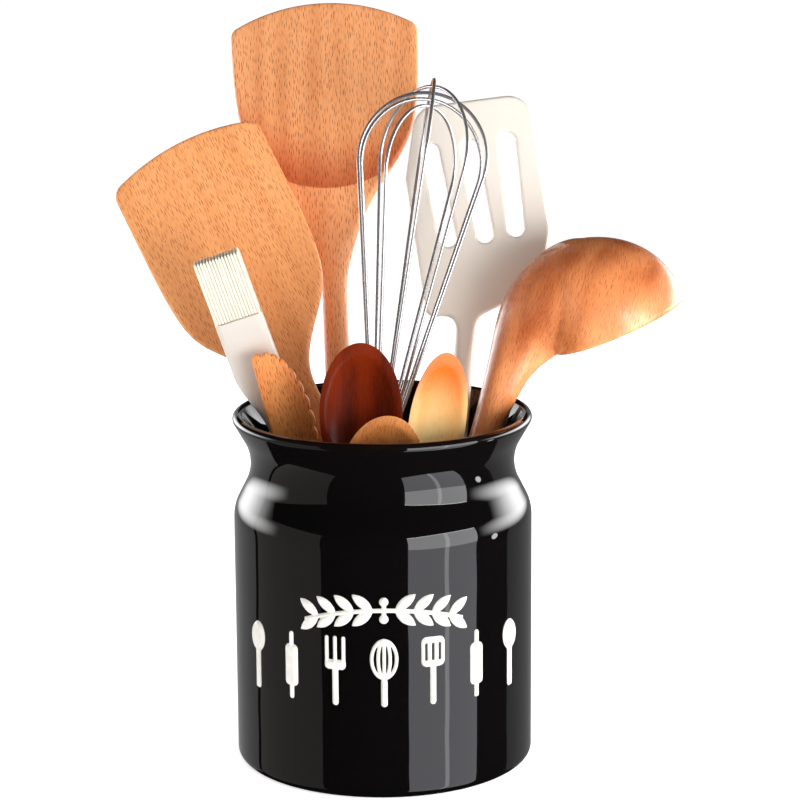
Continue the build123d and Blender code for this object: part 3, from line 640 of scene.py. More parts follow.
def jar_profile():
    """Outside and inside of the jar as arcs and runs, with one wall thickness between them."""
    shoulder_centre = (JAR_RADIUS - SHOULDER_ROUND, SHOULDER_HEIGHT)
    neck_centre = (NECK_RADIUS + NECK_ROUND, NECK_HEIGHT)
    lip = JAR_WALL / 2
    lip_centre = (JAR_RADIUS - lip, JAR_HEIGHT - lip)
    inside_radius = JAR_RADIUS - JAR_WALL
    foot_inner = JAR_RADIUS - FOOT_ROUND
    neck_turn = (180 + SHOULDER_TURN, 180 - FLARE_TURN)
    return np.vstack(
        (
            [(0, 0)],
            run((0, 0), (foot_inner, 0), 8),
            arc((foot_inner, FOOT_ROUND), FOOT_ROUND, -90, 0),
            run((JAR_RADIUS, FOOT_ROUND), (JAR_RADIUS, SHOULDER_HEIGHT), 30),
            arc(shoulder_centre, SHOULDER_ROUND, 0, SHOULDER_TURN, 16),
            arc(neck_centre, NECK_ROUND, *neck_turn, 30),
            arc(lip_centre, lip, -FLARE_TURN, 180 - FLARE_TURN, 20),
            arc(neck_centre, NECK_ROUND + JAR_WALL, *neck_turn[::-1], 30),
            arc(shoulder_centre, SHOULDER_ROUND - JAR_WALL, SHOULDER_TURN, 0, 12),
            run((inside_radius, SHOULDER_HEIGHT), (inside_radius, FLOOR_THICKNESS + FLOOR_CORNER), 24),
            arc(
                (inside_radius - FLOOR_CORNER, FLOOR_THICKNESS + FLOOR_CORNER), FLOOR_CORNER, 0, -90
            ),
            run((inside_radius - FLOOR_CORNER, FLOOR_THICKNESS), (0, FLOOR_THICKNESS), 8),
            [(0, FLOOR_THICKNESS)],
        )
    )


profile = jar_profile()
crock = lathe("crock_glazed", profile)
print("crock profile", len(profile), "points,", len(crock.data.polygons), "faces")

# %% [markdown]
# On the real crock the glaze thins over every edge and lets the brown clay through. It could be
# painted on by hand. Here a height and a radius say where it is thin, for all points at once.
# Inside the neck, towards the lip, the same brown is a painted reflection of the wooden tools.

# %% Thin glaze at the lip, and a painted reflection inside the neck
def dress(piece, material, body, slot, *nodes):
    """Gives a piece its material and its body, and hides the CAD nodes that it stands for."""
    piece.data.materials.clear()
    piece.data.materials.append(material)
    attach(piece, body)
    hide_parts(*nodes)
    return piece


LIP_BREAK_BELOW, LIP_BREAK_REACH, LIP_BREAK = 1.0, 1.6, 0.22
# Painted reflection: brown on the inside wall between these two heights, in this share.
INSIDE_REFLECTION_FROM, INSIDE_REFLECTION_TO, INSIDE_REFLECTION = 140, 178, 0.2

spots = vertex_places(crock)
height = spots[:, 2]
lip_thinness = np.exp(-(((height - JAR_HEIGHT + LIP_BREAK_BELOW) / LIP_BREAK_REACH) ** 2))
outer_side = profile[: np.argmax(profile[:, 1])]
wall_middle = np.interp(height, outer_side[:, 1], outer_side[:, 0]) - JAR_WALL / 2
inside = np.hypot(*spots[:, :2].T) < wall_middle
# Painted reflection of the wooden tools on the inside wall, growing towards the lip.
inside_painted_reflection = inside * smooth_step(height, INSIDE_REFLECTION_FROM, INSIDE_REFLECTION_TO)
thinness_and_painted_reflection = LIP_BREAK * lip_thinness + INSIDE_REFLECTION * inside_painted_reflection
attribute = crock.data.attributes.new("thin_glaze_and_painted_reflection", "FLOAT", "POINT")
attribute.data.foreach_set("value", np.clip(thinness_and_painted_reflection, 0, 1))
dress(crock, black_glaze, "crock", "black_glaze", "crock_body")
print("crock glaze, thinnest", round(float(thinness_and_painted_reflection.max()), 2))

# %% [markdown]
# The white ornament is slip laid on the wall. A figure is drawn as a distance: how deep each spot
# lies inside the outline. The slip rises with that depth and rounds over, and where the depth is
# negative the sheet dips into the wall, so the edge that shows is smooth. A curve with a bevel
# would also do, but it would have to be bent round the wall afterwards.

# %% Distances that draw the figures
SLIP_RISE = 1.5
SLIP_ROUND = 1.7
SLIP_BURIED = 0.5
SLIP_GRID = 0.38


def capsule(x, y, start, end, radius):
    """Distance to a round-ended bar between two points."""
    along = np.array(end) - np.array(start)
    share = ((x - start[0]) * along[0] + (y - start[1]) * along[1]) / max(along @ along, 1e-9)
    share = np.clip(share, 0, 1)
    return np.hypot(x - start[0] - share * along[0], y - start[1] - share * along[1]) - radius


def ellipse(x, y, centre, across, up):
    """Near distance to an ellipse: k(k - 1) over the length of its gradient."""
    u, v = x - centre[0], y - centre[1]
    scaled = np.hypot(u / across, v / up) + 1e-6
    slope = np.hypot(u / across**2, v / up**2) + 1e-6
    return scaled * (scaled - 1) / slope


def rounded_box(x, y, centre, half_across, half_up, radius):
    """Distance to a rectangle with rounded corners."""
    u = np.abs(x - centre[0]) - half_across + radius
    v = np.abs(y - centre[1]) - half_up + radius
    return np.hypot(np.maximum(u, 0), np.maximum(v, 0)) + np.minimum(np.maximum(u, v), 0) - radius


def joined(*distances, blend=0.5):
    """Smooth union: the smaller distance, filleted where two are alike."""
    result = distances[0]
    for other in distances[1:]:
        share = np.clip(0.5 + (other - result) / (2 * blend), 0, 1)
        result = other * (1 - share) + result * share - blend * share * (1 - share)
    return result


print("deepest in a bar of radius 2:", float(-capsule(0.0, 0.0, (0, -5), (0, 5), 2.0)), "mm")

# %% [markdown]
# The ornament is plain: a row of seven kitchen tools under a leafy sprig. Each figure is a few
# bars, ellipses and boxes joined as distances, so its corners fill in as wet slip does, and all of
# them share one height and one stroke, so the row reads as one hand's work.

# %% The figures
FIGURE_HEIGHT = 35.0
STROKE = 3.2
FIGURE_LEVEL = 66.0
FIGURE_SPACING = 18.5
PRONG_REACH = 4.32


def stem(x, y, top):
    """Round-ended bar from the figure's foot up to a height."""
    low = -FIGURE_HEIGHT / 2 + STROKE / 2
    return capsule(x, y, (0, low), (0, top - STROKE / 2), STROKE / 2)


def draw_spoon(x, y):
    """A stem joined to an ellipse."""
    bowl = ellipse(x, y, (0, FIGURE_HEIGHT * 0.28), STROKE * 1.7, FIGURE_HEIGHT * 0.22)
    return joined(stem(x, y, FIGURE_HEIGHT / 4), bowl, blend=1.2)


def draw_fork(x, y):
    """A stem, a palm and three prongs."""
    prong = STROKE * 0.31
    root, tip = FIGURE_HEIGHT * 0.12, FIGURE_HEIGHT * 0.52 - prong
    bars = [capsule(x, y, (side, root), (side, tip), prong) for side in (-PRONG_REACH, 0, PRONG_REACH)]
    palm = rounded_box(x, y, (0, FIGURE_HEIGHT * 0.10), STROKE * 1.7, STROKE * 0.8, STROKE * 0.7)
    return joined(stem(x, y, FIGURE_HEIGHT / 8), palm, *bars)


def draw_turner(x, y):
    """A stem and a rounded blade, less three slots."""
    centre = (0, FIGURE_HEIGHT * 0.28)
    blade = rounded_box(x, y, centre, STROKE * 1.9, FIGURE_HEIGHT * 0.22, STROKE * 0.9)
    reach = FIGURE_HEIGHT * 0.11
    for side in (-STROKE * 1.1, 0, STROKE * 1.1):
        low, high = (side, centre[1] - reach), (side, centre[1] + reach)
        blade = np.maximum(blade, -capsule(x, y, low, high, STROKE * 0.21))
    return joined(stem(x, y, FIGURE_HEIGHT / 8), blade)


def draw_whisk(x, y):
    """A stem and three wires: two ellipses as outlines, and a bar between them."""
    line = STROKE * 0.28
    centre = (0, FIGURE_HEIGHT * 0.20)
    tall = FIGURE_HEIGHT * 0.30 - line
    outer = np.abs(ellipse(x, y, centre, STROKE * 2.2 - line, tall)) - line
    inner = np.abs(ellipse(x, y, centre, STROKE * 1.05 - line / 2, tall)) - line
    middle = capsule(x, y, (0, centre[1] - tall), (0, centre[1] + tall), line)
    return joined(stem(x, y, -FIGURE_HEIGHT / 12), outer, inner, middle, blend=0.3)


def draw_pin(x, y):
    """A rolling pin: a barrel on a thin bar."""
    barrel = rounded_box(x, y, (0, 0), STROKE * 1.2, FIGURE_HEIGHT * 0.31, STROKE * 0.8)
    reach = FIGURE_HEIGHT / 2 - STROKE * 0.4
    return joined(barrel, capsule(x, y, (0, -reach), (0, reach), STROKE * 0.4))


figures = (draw_spoon, draw_pin, draw_fork, draw_whisk, draw_turner, draw_pin, draw_spoon)
print("figures", len(figures), "each", FIGURE_HEIGHT, "mm high")

# %% [markdown]
# The sprig fills the upper arc. Leaves grow in pairs along a bowed stem, and each has a groove
# for its vein. One leaf could be copied along a curve, but as distances all of them melt into the
# stem where they touch it.

# %% The sprig
SPRIG_HALF, SPRIG_RISE, SPRIG_LINE = 41.0, 7.0, 1.1
LEAF_LENGTH, LEAF_HALF, LEAF_PITCH, LEAF_LIFT, VEIN = 13.0, 2.6, 9.2, 38, 0.42
BERRY_UP, BERRY_RADIUS = 4.4, 2.3


def draw_sprig(x, y):
    """Arched stem with pairs of leaves and two berries; a leaf is where two circles overlap."""
    bow = (SPRIG_HALF**2 + SPRIG_RISE**2) / (2 * SPRIG_RISE)
    stem_line = np.abs(np.hypot(x, y + bow) - bow) - SPRIG_LINE
    figure = np.maximum(stem_line, np.abs(x) - SPRIG_HALF)
    lens = (LEAF_LENGTH**2 / 4 + LEAF_HALF**2) / (2 * LEAF_HALF)
    for side in (-1, 1):
        for pair in range(4):
            along = (pair + 0.6) * LEAF_PITCH
            base = (side * along, -SPRIG_RISE * (along / SPRIG_HALF) ** 2)
            for lift in (-LEAF_LIFT, LEAF_LIFT):
                swing = math.radians(lift)
                u = (x - base[0]) * side * math.cos(swing) + (y - base[1]) * math.sin(swing)
                v = (y - base[1]) * math.cos(swing) - (x - base[0]) * side * math.sin(swing)
                blade = np.hypot(u - LEAF_LENGTH / 2, np.abs(v) + lens - LEAF_HALF) - lens
                vein = VEIN * np.exp(-((v / VEIN) ** 2)) * (u > 1.0) * (u < LEAF_LENGTH - 2)
                figure = joined(figure, blade + vein, blend=0.35)
    for berry in (-BERRY_UP, BERRY_UP):
        figure = joined(figure, np.hypot(x, y - berry) - BERRY_RADIUS)
    return joined(figure, capsule(x, y, (0, -BERRY_UP), (0, BERRY_UP), SPRIG_LINE))


middle_depth = float(-draw_sprig(np.zeros(1), np.zeros(1))[0])
print("sprig", 2 * SPRIG_HALF, "mm wide,", round(middle_depth, 2), "mm deep at its middle")

# %% [markdown]
# Slip is laid on a round wall, so a figure's flat drawing is wrapped on it: across becomes an
# angle, and the depth becomes a rise. A shrinkwrap would also bend it, but would pull the edges
# about. The back of the sheet lies just inside the wall, so no gap shows from the side.

# %% Slip on the wall
FIGURE_SHEET, SPRIG_SHEET, SPRIG_LEVEL = (9.5, 19.5), (45.5, 17.0), 98.0


def two_sheets(name, front, back, faces):
    """Closed piece from two grids of points with the same faces, turned over on the back one."""
    both = np.vstack((faces, faces[:, ::-1] + front.size // 3))
    points = np.concatenate((front.reshape(-1, 3), back.reshape(-1, 3)))
    used, renumbered = np.unique(both, return_inverse=True)
    return close_seams(new_piece(name, points[used], renumbered.reshape(-1, 4)))


def slip_relief(name, draw, half_across, half_up, middle, level):
    """Sheet of slip on the wall: x runs round it, and the height is 1 - (1 - depth/round)^2."""
    x = np.arange(-half_across, half_across + SLIP_GRID, SLIP_GRID)
    y = np.arange(-half_up, half_up + SLIP_GRID, SLIP_GRID)
    x, y = np.meshgrid(x, y)
    depth = -draw(x, y)
    inside_height = SLIP_RISE * (1 - (1 - np.clip(depth / SLIP_ROUND, 0, 1)) ** 2)
    outside_dip = 2 * SLIP_RISE / SLIP_ROUND * np.minimum(depth, 0)
    rise = np.maximum(inside_height + outside_dip, -SLIP_BURIED)
    angle = math.radians(middle) + x / JAR_RADIUS
    sheets = []
    for lifted in (rise, np.full_like(rise, -SLIP_BURIED)):
        radius = JAR_RADIUS + lifted
        sheets.append(np.stack((radius * np.sin(angle), -radius * np.cos(angle), y + level), axis=-1))
    faces = grid_faces(*x.shape, around=False)
    kept = (rise.reshape(-1)[faces] > -SLIP_BURIED + 1e-6).any(axis=1)
    return two_sheets(name, *sheets, faces[kept])


for number, draw in enumerate(figures):
    middle = (number - (len(figures) - 1) / 2) * FIGURE_SPACING
    name = "relief_" + str(number + 1)
    relief = slip_relief("slip_" + str(number + 1), draw, *FIGURE_SHEET, middle, FIGURE_LEVEL)
    dress(relief, white_slip, "crock", "white_slip", name)
sprig = slip_relief("slip_sprig", draw_sprig, *SPRIG_SHEET, 0.0, SPRIG_LEVEL)
dress(sprig, white_slip, "crock", "white_slip", "relief_sprig")
print("ornament pieces", len(figures) + 1, "sprig faces", len(sprig.data.polygons))

# %% [markdown]
# A turner, a spoon or a server is one skin: rows of points cross it from its left edge over the
# front to its right edge and back behind. At the butt and at the tip the rows fan round the end
# of a spine, so the rounded ends close in a pole. Across each row the edge is a quarter circle.
# An outline with thickness and a bevel would be shorter to write, but flat on both faces.

# %% The skin of a flat tool
GRIP_PITCH = 5.0
BUTT_ROWS = 8
FAN_BELOW = 4.0


def shell_rows(right, left, spine_top, levels, fan_steps):
    """Right edge, spine and left edge of each row: fan at the butt, rows up, fan at the tip."""
    butt = right[0, 0]
    top = np.asarray(spine_top, float)
    right, left = dense(right), dense(left)
    low = np.linspace(-math.pi / 2, 0, BUTT_ROWS + 1)[:-1]
    butt_right = butt * np.c_[np.cos(low), np.sin(low)]
    rows_right, rows_left = [
        np.c_[np.interp(levels, side[: stop + 1, 1], side[: stop + 1, 0]), levels]
        for side, stop in ((side, np.argmax(side[:, 1] > top[1])) for side in (right, left))
    ]
    loop = np.vstack((right, left[::-1])) - top
    loop = loop[loop[:, 1] > -FAN_BELOW]
    angle = np.arctan2(loop[:, 1], loop[:, 0])
    angle = np.where(angle < -math.pi / 2, angle + 2 * math.pi, angle)
    order = np.argsort(angle)
    fan = np.linspace(0, math.pi / 2, fan_steps + 1)[1:]
    sides = []
    for turn in (fan, math.pi - fan):
        reach = np.interp(turn, angle[order], np.hypot(*loop[order].T))
        sides.append(top + reach[:, None] * np.c_[np.cos(turn), np.sin(turn)])
    spine = np.c_[np.interp(levels, (0, top[1]), (0, top[0])), levels]
    return (
        np.vstack((butt_right, rows_right, sides[0])),
        np.vstack((np.zeros_like(butt_right), spine, np.tile(top, (fan_steps, 1)))),
        np.vstack((butt_right * (-1, 1), rows_left, sides[1])),
    )


# %% The rounding across a row
NO_EDGE = 99
LEAST_EDGE_SHARE, MOST_EDGE_SHARE = 0.02, 0.97


def tool_shell(name, seat, right, left, spine_top, foot, edge, front, back, **steps):
    """Closed skin between a front and a back surface, given as forward heights of (x, z).

    Across a row the point at share s of the way from spine to edge is spine + s (edge - spine).
    Within the edge radius the skin falls on a quarter circle from the surface to its middle. An
    edge radius of NO_EDGE is wider than any handle, so there the whole section is round.
    """
    flat_steps, round_steps = steps.get("flat", 12), steps.get("round", 6)
    pitch = steps.get("pitch", 1.6)
    row_count = int((spine_top[1] - foot) / pitch) + 2
    levels = np.r_[np.arange(0, foot, GRIP_PITCH), np.linspace(foot, spine_top[1], row_count)]
    rights, spine, lefts = shell_rows(right, left, spine_top, levels, steps.get("fan", 48))
    falls = np.linspace(0, math.pi / 2, round_steps + 1)
    halves = []
    for edges in (lefts, rights):
        reach = np.hypot(*(edges - spine).T)
        share = edge(spine[:, 1]) / np.maximum(reach, 1e-6)
        share = np.clip(share, LEAST_EDGE_SHARE, MOST_EDGE_SHARE)[:, None]
        flat = np.linspace(0, 1, flat_steps, endpoint=False)[None, :] * (1 - share)
        fall = 1 - share * (1 - np.sin(falls))[None, :]
        across = np.hstack((flat, fall))
        lift = np.broadcast_to(np.r_[np.ones(flat_steps), np.cos(falls)], across.shape)
        spots = spine[:, None, :] + (edges - spine)[:, None, :] * across[..., None]
        high, low = front(spots[..., 0], spots[..., 1]), back(spots[..., 0], spots[..., 1])
        middle, half = (high + low) / 2, np.maximum(high - low, 0) / 2
        halves.append((spots, middle + half * lift, middle - half * lift))
    (left_spots, left_high, left_low), (right_spots, right_high, right_low) = halves
    spots = np.concatenate(
        (left_spots[:, ::-1], right_spots[:, 1:], right_spots[:, -2::-1], left_spots[:, 1:-1]), axis=1
    )
    heights = np.concatenate(
        (left_high[:, ::-1], right_high[:, 1:], right_low[:, -2::-1], left_low[:, 1:-1]), axis=1
    )
    points = np.stack((spots[..., 0], -heights, spots[..., 1]), axis=-1)
    rows, columns = heights.shape
    piece = new_piece(name, seat.place(points.reshape(-1, 3)), grid_faces(rows, columns))
    return close_seams(piece)


def profile_of(levels, values):
    """A size that changes along the tool, straight between the given levels."""
    return lambda z: np.interp(z, levels, values)


print("half-way from 5 to 1 mm:", float(profile_of((0, 10), (5, 1))(5)), "mm")

# %% [markdown]
# The two beech turners are sawn from one board each. The wide one is dished on its front, with a
# soft ledge where the dish ends; the flat one thins evenly to its tip.

# %% Turner outlines
STRAIGHT_SHARE, NECK_BELOW = 0.35, 12


def turner_side(half_width, neck, foot, length, crown, corner, shares, handle, sign=1, offset=0.0):
    """Half outline of a turner: straight handle, curved flank, rounded corner, crowned top."""
    blade = length - foot
    flank_points = [(neck, foot)]
    flank_points += [(half_width * across - sign * offset, foot + blade * up) for across, up in shares]
    tip = np.array((half_width - sign * offset, length - crown))
    flank = spline_through(flank_points + [tuple(tip)], (0, 1), (0, 1), 120)
    top_radius = (half_width**2 + crown**2) / (2 * crown)
    lean = math.degrees(math.asin(half_width / top_radius))
    top_centre = (-sign * offset, length - top_radius)
    top = arc(top_centre, top_radius, 90 - lean, 90, 40)
    turned = rounded_corner(tip - (0, 1), tip, top[3], corner)
    flank = flank[flank[:, 1] < turned[0, 1]]
    top = top[top[:, 0] < turned[-1, 0]]
    grip = np.array([(handle, 0), (handle, foot * STRAIGHT_SHARE), (neck, foot - NECK_BELOW)])
    side = np.vstack((grip, flank, turned, top))
    return side * (sign, 1)


# %% The wide turner
WIDE_LENGTH, WIDE_FOOT, WIDE_HALF = 389.5, 231.5, 49.7
LEDGE_LEVEL, LEDGE_RISE, DISH_DEPTH = 287.6, 28.0, 2.4
DISH_REACH, BOARD_HALF = 26.0, 4.5
WIDE_LEVELS = (0, 150, WIDE_FOOT, LEDGE_LEVEL, WIDE_LENGTH)
WIDE_FRONT, WIDE_BACK = [(6.8, 5.6, BOARD_HALF, BOARD_HALF, tip) for tip in (0.1, 2.5)]
wide_shares = ((0.22, 0.15), (0.43, 0.31), (0.87, 0.53), (0.985, 0.72))
wide_sides = [
    turner_side(WIDE_HALF, 6.4, WIDE_FOOT, WIDE_LENGTH, 14.0, 6.0, wide_shares, 6.8, sign)
    for sign in (1, -1)
]
ledge_radius = (WIDE_HALF**2 + LEDGE_RISE**2) / (2 * LEDGE_RISE)


def wide_front(x, z):
    """Board that thins past the ledge; beyond the ledge's arc it falls on a cubic to the dish."""
    board = np.interp(z, WIDE_LEVELS, WIDE_FRONT)
    beyond = z - LEDGE_LEVEL - ledge_radius + np.sqrt(np.maximum(ledge_radius**2 - x**2, 0))
    fall = 1 - (1 - np.clip(beyond / DISH_REACH, 0, 1)) ** 3
    return np.minimum(board, BOARD_HALF - DISH_DEPTH * fall)


wide_turner = tool_shell(
    "wide_turner_beech",
    seats["wide_turner"],
    *wide_sides,
    (0.0, 338.0),
    WIDE_FOOT - 30,
    profile_of((0, 200, 260, 330, 390), (NO_EDGE, NO_EDGE, 4.2, 2.0, 1.3)),
    wide_front,
    lambda x, z: -np.interp(z, WIDE_LEVELS, WIDE_BACK),
    flat=20,
    fan=80,
)
dress(wide_turner, wood["wide_turner"], "wide_turner", "beech_wide", "wide_turner")
print("wide turner", len(wide_turner.data.polygons), "faces")

# %% [markdown]
# Just above the ledge the wood is painted darker: a painted shade in the foot of the hollow. A mask
# could be painted on the mesh, but it would be as coarse as the mesh. The tint is worked out from
# the ledge's own arc instead, so it is sharp and stays on the ledge.

# %% Painted shade in the dish
DISH_SHADE_EDGE, DISH_SHADE_REACH, DISH_SHADE_FRONT = 0.0004, 0.034, 0.0012


def paint_dish_shade(material, seat):
    """Paints shade on the front above the ledge's arc, and fades the painted shade out over its reach.

    A spot is past the ledge by its height plus sqrt(r^2 - x^2), less the ledge's level and r.
    """
    tree = material.node_tree
    shader = tree.nodes["Principled BSDF"]
    place = add_node(tree, "ShaderNodeSeparateXYZ", {0: place_on_tool(tree, seat)})
    radius = ledge_radius * MM
    square = calculated(tree, "MULTIPLY", place.outputs[0], place.outputs[0])
    drop = calculated(tree, "SQRT", calculated(tree, "SUBTRACT", radius**2, square))
    beyond = calculated(tree, "ADD", place.outputs[2], drop)
    beyond = calculated(tree, "SUBTRACT", beyond, LEDGE_LEVEL * MM + radius)
    started = ranged(tree, beyond, -DISH_SHADE_EDGE, DISH_SHADE_EDGE)
    dish_shade = calculated(tree, "MULTIPLY", started, ranged(tree, beyond, 0.0, DISH_SHADE_REACH, 1.0, 0.0))
    in_front = ranged(tree, place.outputs[1], -DISH_SHADE_FRONT, 0.0, 1.0, 0.0)
    dish_shade = calculated(tree, "MULTIPLY", dish_shade, in_front)
    grain_colour = shader.inputs["Base Color"].links[0].from_socket
    # Painted shade: this tint darkens the wood just above the ledge.
    tone = mix_colour(tree, dish_shade, grain_colour, srgb(218, 170, 150), "MULTIPLY")
    tree.links.new(tone, shader.inputs["Base Color"])


paint_dish_shade(wood["wide_turner"], seats["wide_turner"])
print("oil in", wood["wide_turner"].name)

# %% [markdown]
# The flat turner is the same kind of board without a dish. Its flanks are fuller, and its blade
# sits a little to the left of its handle. It could be a copy of the wide one, made narrower, but
# then its corners and its handle would shrink with it.

# %% The flat turner
FLAT_LENGTH, FLAT_FOOT, FLAT_HALF, FLAT_OFFSET = 345.5, 190.5, 42.5, 2.4
flat_shares = ((0.24, 0.12), (0.53, 0.25), (0.87, 0.375), (0.975, 0.50), (1.0, 0.68))
flat_sides = [
    turner_side(FLAT_HALF, 6.6, FLAT_FOOT, FLAT_LENGTH, 8.0, 8.0, flat_shares, 7.0, sign, FLAT_OFFSET)
    for sign in (1, -1)
]
flat_half = profile_of((0, 120, FLAT_FOOT, FLAT_LENGTH), (7.0, 5.6, 4.0, 1.2))
flat_turner = tool_shell(
    "flat_turner_beech",
    seats["flat_turner"],
    *flat_sides,
    (-FLAT_OFFSET, 298.0),
    FLAT_FOOT - 30,
    profile_of((0, 160, 215, 280, 346), (NO_EDGE, NO_EDGE, 3.6, 1.9, 1.2)),
    lambda x, z: flat_half(z),
    lambda x, z: -flat_half(z),
    fan=80,
)
dress(flat_turner, wood["flat_turner"], "flat_turner", "beech_flat", "flat_turner")
print("flat turner", len(flat_turner.data.polygons), "faces")

# %% [markdown]
# The server has a straight back and a nose, and rounded teeth along its curved edge. Each tooth
# is a short arc between two points of the curve. Round cutters could nibble the teeth, but then
# the rounding of the edge wouldn't follow them.

# %% Scalloped server
SERVER_LENGTH, SERVER_FOOT, SERVER_GRIP = 211.5, 115.5, 5.2
CURVE_OUT, CURVE_RISE, CURVE_END = 16.6, 39.0, 115.0
TOOTH_COUNT, TOOTH_DEPTH, NOSE = 8, 1.6, 3.0


def server_curve(turn, inset):
    """Point on the toothed curve at an angle from its top, set back by an inset."""
    angle = np.radians(turn)
    return np.stack(
        (
            NOSE + (CURVE_OUT - inset) * np.sin(angle),
            SERVER_LENGTH - CURVE_RISE + (CURVE_RISE - inset) * np.cos(angle),
        ),
        axis=-1,
    )


turns = np.linspace(0, CURVE_END, TOOTH_COUNT * 12 + 1)
swell = np.sqrt(np.maximum(1 - (2 * ((turns * TOOTH_COUNT / CURVE_END) % 1) - 1) ** 2, 0))
toothed = server_curve(turns, TOOTH_DEPTH * (1 - swell))
nose_foot = (-SERVER_GRIP + 2.0, SERVER_LENGTH - NOSE)
nose_points = (nose_foot, (0, SERVER_LENGTH), tuple(toothed[0]))
nose_bow = spline_through(nose_points, (0, 1), (1, -0.3), 16)
waist = spline_through(((SERVER_GRIP, SERVER_FOOT), tuple(toothed[-1])), (0, 1), (0.4, 1), 24)
server_right = np.vstack(((SERVER_GRIP, 0), waist, toothed[-2::-1], nose_bow[::-1][:8]))
server_back = ((-SERVER_GRIP, 0), (-SERVER_GRIP, SERVER_FOOT), nose_foot)
server_left = np.vstack((*server_back, nose_bow[1:9]))
server_half = profile_of((0, 90, SERVER_FOOT, SERVER_LENGTH), (5.2, 3.6, 2.7, 1.7))
server = tool_shell(
    "scalloped_server_beech",
    seats["scalloped_server"],
    server_right,
    server_left,
    (4.5, 168.0),
    SERVER_FOOT - 30,
    profile_of((0, 85, 125, 212), (NO_EDGE, NO_EDGE, 2.2, 1.4)),
    lambda x, z: server_half(z),
    lambda x, z: -server_half(z),
    flat=6,
    fan=150,
    pitch=0.8,
)
dress(server, wood["scalloped_server"], "scalloped_server", "beech_server", "scalloped_server")
print("server", len(server.data.polygons), "faces")

# %% [markdown]
# A spoon's bowl is cut from a long round body, hollowed by a smaller one. The skin between them
# flows into a handle that is round in section. The parts could be solids joined and cut, but the
# rim would be sharp and the neck would show a seam.

# %% Spoons
RIM_FORWARD, RIM_LAND = 1.5, 0.3
SPOON_NECK, NECK_FADE_SHARE, NECK_FADE = 3.0, 0.6, 12
BOWL_FROM, BOWL_TO, SIDE_POWER = 10, 9, 5


def wooden_spoon(name, seat, butt, length, bowl_length, bowl_width, bowl_depth, wall):
    """Spoon skin: two spheroids give the bowl's faces, a blend carries them into the handle.

    The half width is (grip^5 + bowl^5)^(1/5), which follows the wider of the two and fillets them.
    """
    half_width, half_length = bowl_width / 2, bowl_length / 2
    centre = length - half_length
    girth = (half_width**2 + bowl_depth**2) / (2 * bowl_depth)
    behind = girth - bowl_depth
    stretch = half_length / math.sqrt(1 - (behind / girth) ** 2) / girth
    joint = centre - half_length

    def round_body(x, z, radius):
        """Backward height of a spheroid with the bowl's stretch."""
        square = radius**2 - x**2 - ((z - centre) / stretch) ** 2
        return -RIM_FORWARD - behind + np.sqrt(np.maximum(square, 0))

    grip_sizes = (butt, SPOON_NECK, SPOON_NECK * NECK_FADE_SHARE)
    grip_at = profile_of((0, joint, joint + NECK_FADE), grip_sizes)
    levels = np.linspace(0, centre, 160)
    bowl = half_width * np.sqrt(np.clip(1 - ((levels - centre) / half_length) ** 2, 0, 1))
    width = (grip_at(levels) ** SIDE_POWER + bowl**SIDE_POWER) ** (1 / SIDE_POWER)
    tip = arc((0, 0), 1, 0, 90, 60) * (half_width, half_length) + (0, centre)
    right = np.vstack((np.c_[width, levels], tip[1:]))

    def into_bowl(z):
        """Share of the bowl in the skin: 0 on the handle, 1 past the joint."""
        return smooth_step(z, joint - BOWL_FROM, joint + BOWL_TO)

    def front(x, z):
        """Top of the handle, blended into the hollow."""
        hollow = np.minimum(-round_body(x, z, girth - wall), RIM_FORWARD)
        return grip_at(z) * (1 - into_bowl(z)) + hollow * into_bowl(z)

    def back(x, z):
        """Underside of the handle, blended into the outer spheroid."""
        outer = -np.maximum(round_body(x, z, girth), -RIM_FORWARD + RIM_LAND)
        return -grip_at(z) * (1 - into_bowl(z)) + outer * into_bowl(z)

    rim = profile_of((0, joint - 12, joint + 8, length), (NO_EDGE, NO_EDGE, 1.1, 1.1))
    return tool_shell(
        name, seat, right, right * (-1, 1), (0.0, centre), joint - 20, rim, front, back,
        flat=16, round=5, fan=60, pitch=1.0,
    )


# %% The three spoons
spoon_sizes = {
    "dark_spoon": ("dark_wood", 5.2, 211.5, 71.0, 41.4, 9.5, 2.4),
    "light_spoon": ("golden_wood", 5.2, 206.6, 72.0, 32.0, 8.0, 2.2),
    "small_spoon": ("pale_wood", 4.6, 184.7, 54.0, 39.0, 8.5, 2.2),
}
for body, (slot, *sizes) in spoon_sizes.items():
    spoon = wooden_spoon(body + "_turned", seats[body], *sizes)
    dress(spoon, wood[body], body, slot, body)
    print(body, len(spoon.data.polygons), "faces")

# %% [markdown]
# The pastry brush has a flat sleeve that grows out of its round handle. Its skin is a stack of
# rounded rectangles. The last ones turn over the mouth and run down into the pocket. A box on a
# rod would be simpler, but on the real brush one flows out of the other.

# %% Stacked sections
def section_rows(sections, steps=8):
    """Rows of rounded rectangles, each given as (level, half across, half deep, corner radius)."""
    level, across, deep, corner = (column[:, None] for column in np.array(sections, float).T)
    starts = np.arange(4) * math.pi / 2
    turn = np.concatenate([np.linspace(start, start + math.pi / 2, steps + 1) for start in starts])
    side_x = np.repeat((1, -1, -1, 1), steps + 1)
    side_y = np.repeat((1, 1, -1, -1), steps + 1)
    x = side_x * (across - corner) + corner * np.cos(turn)
    y = side_y * (deep - corner) + corner * np.sin(turn)
    return np.stack((x, y, level + 0 * turn), axis=-1)


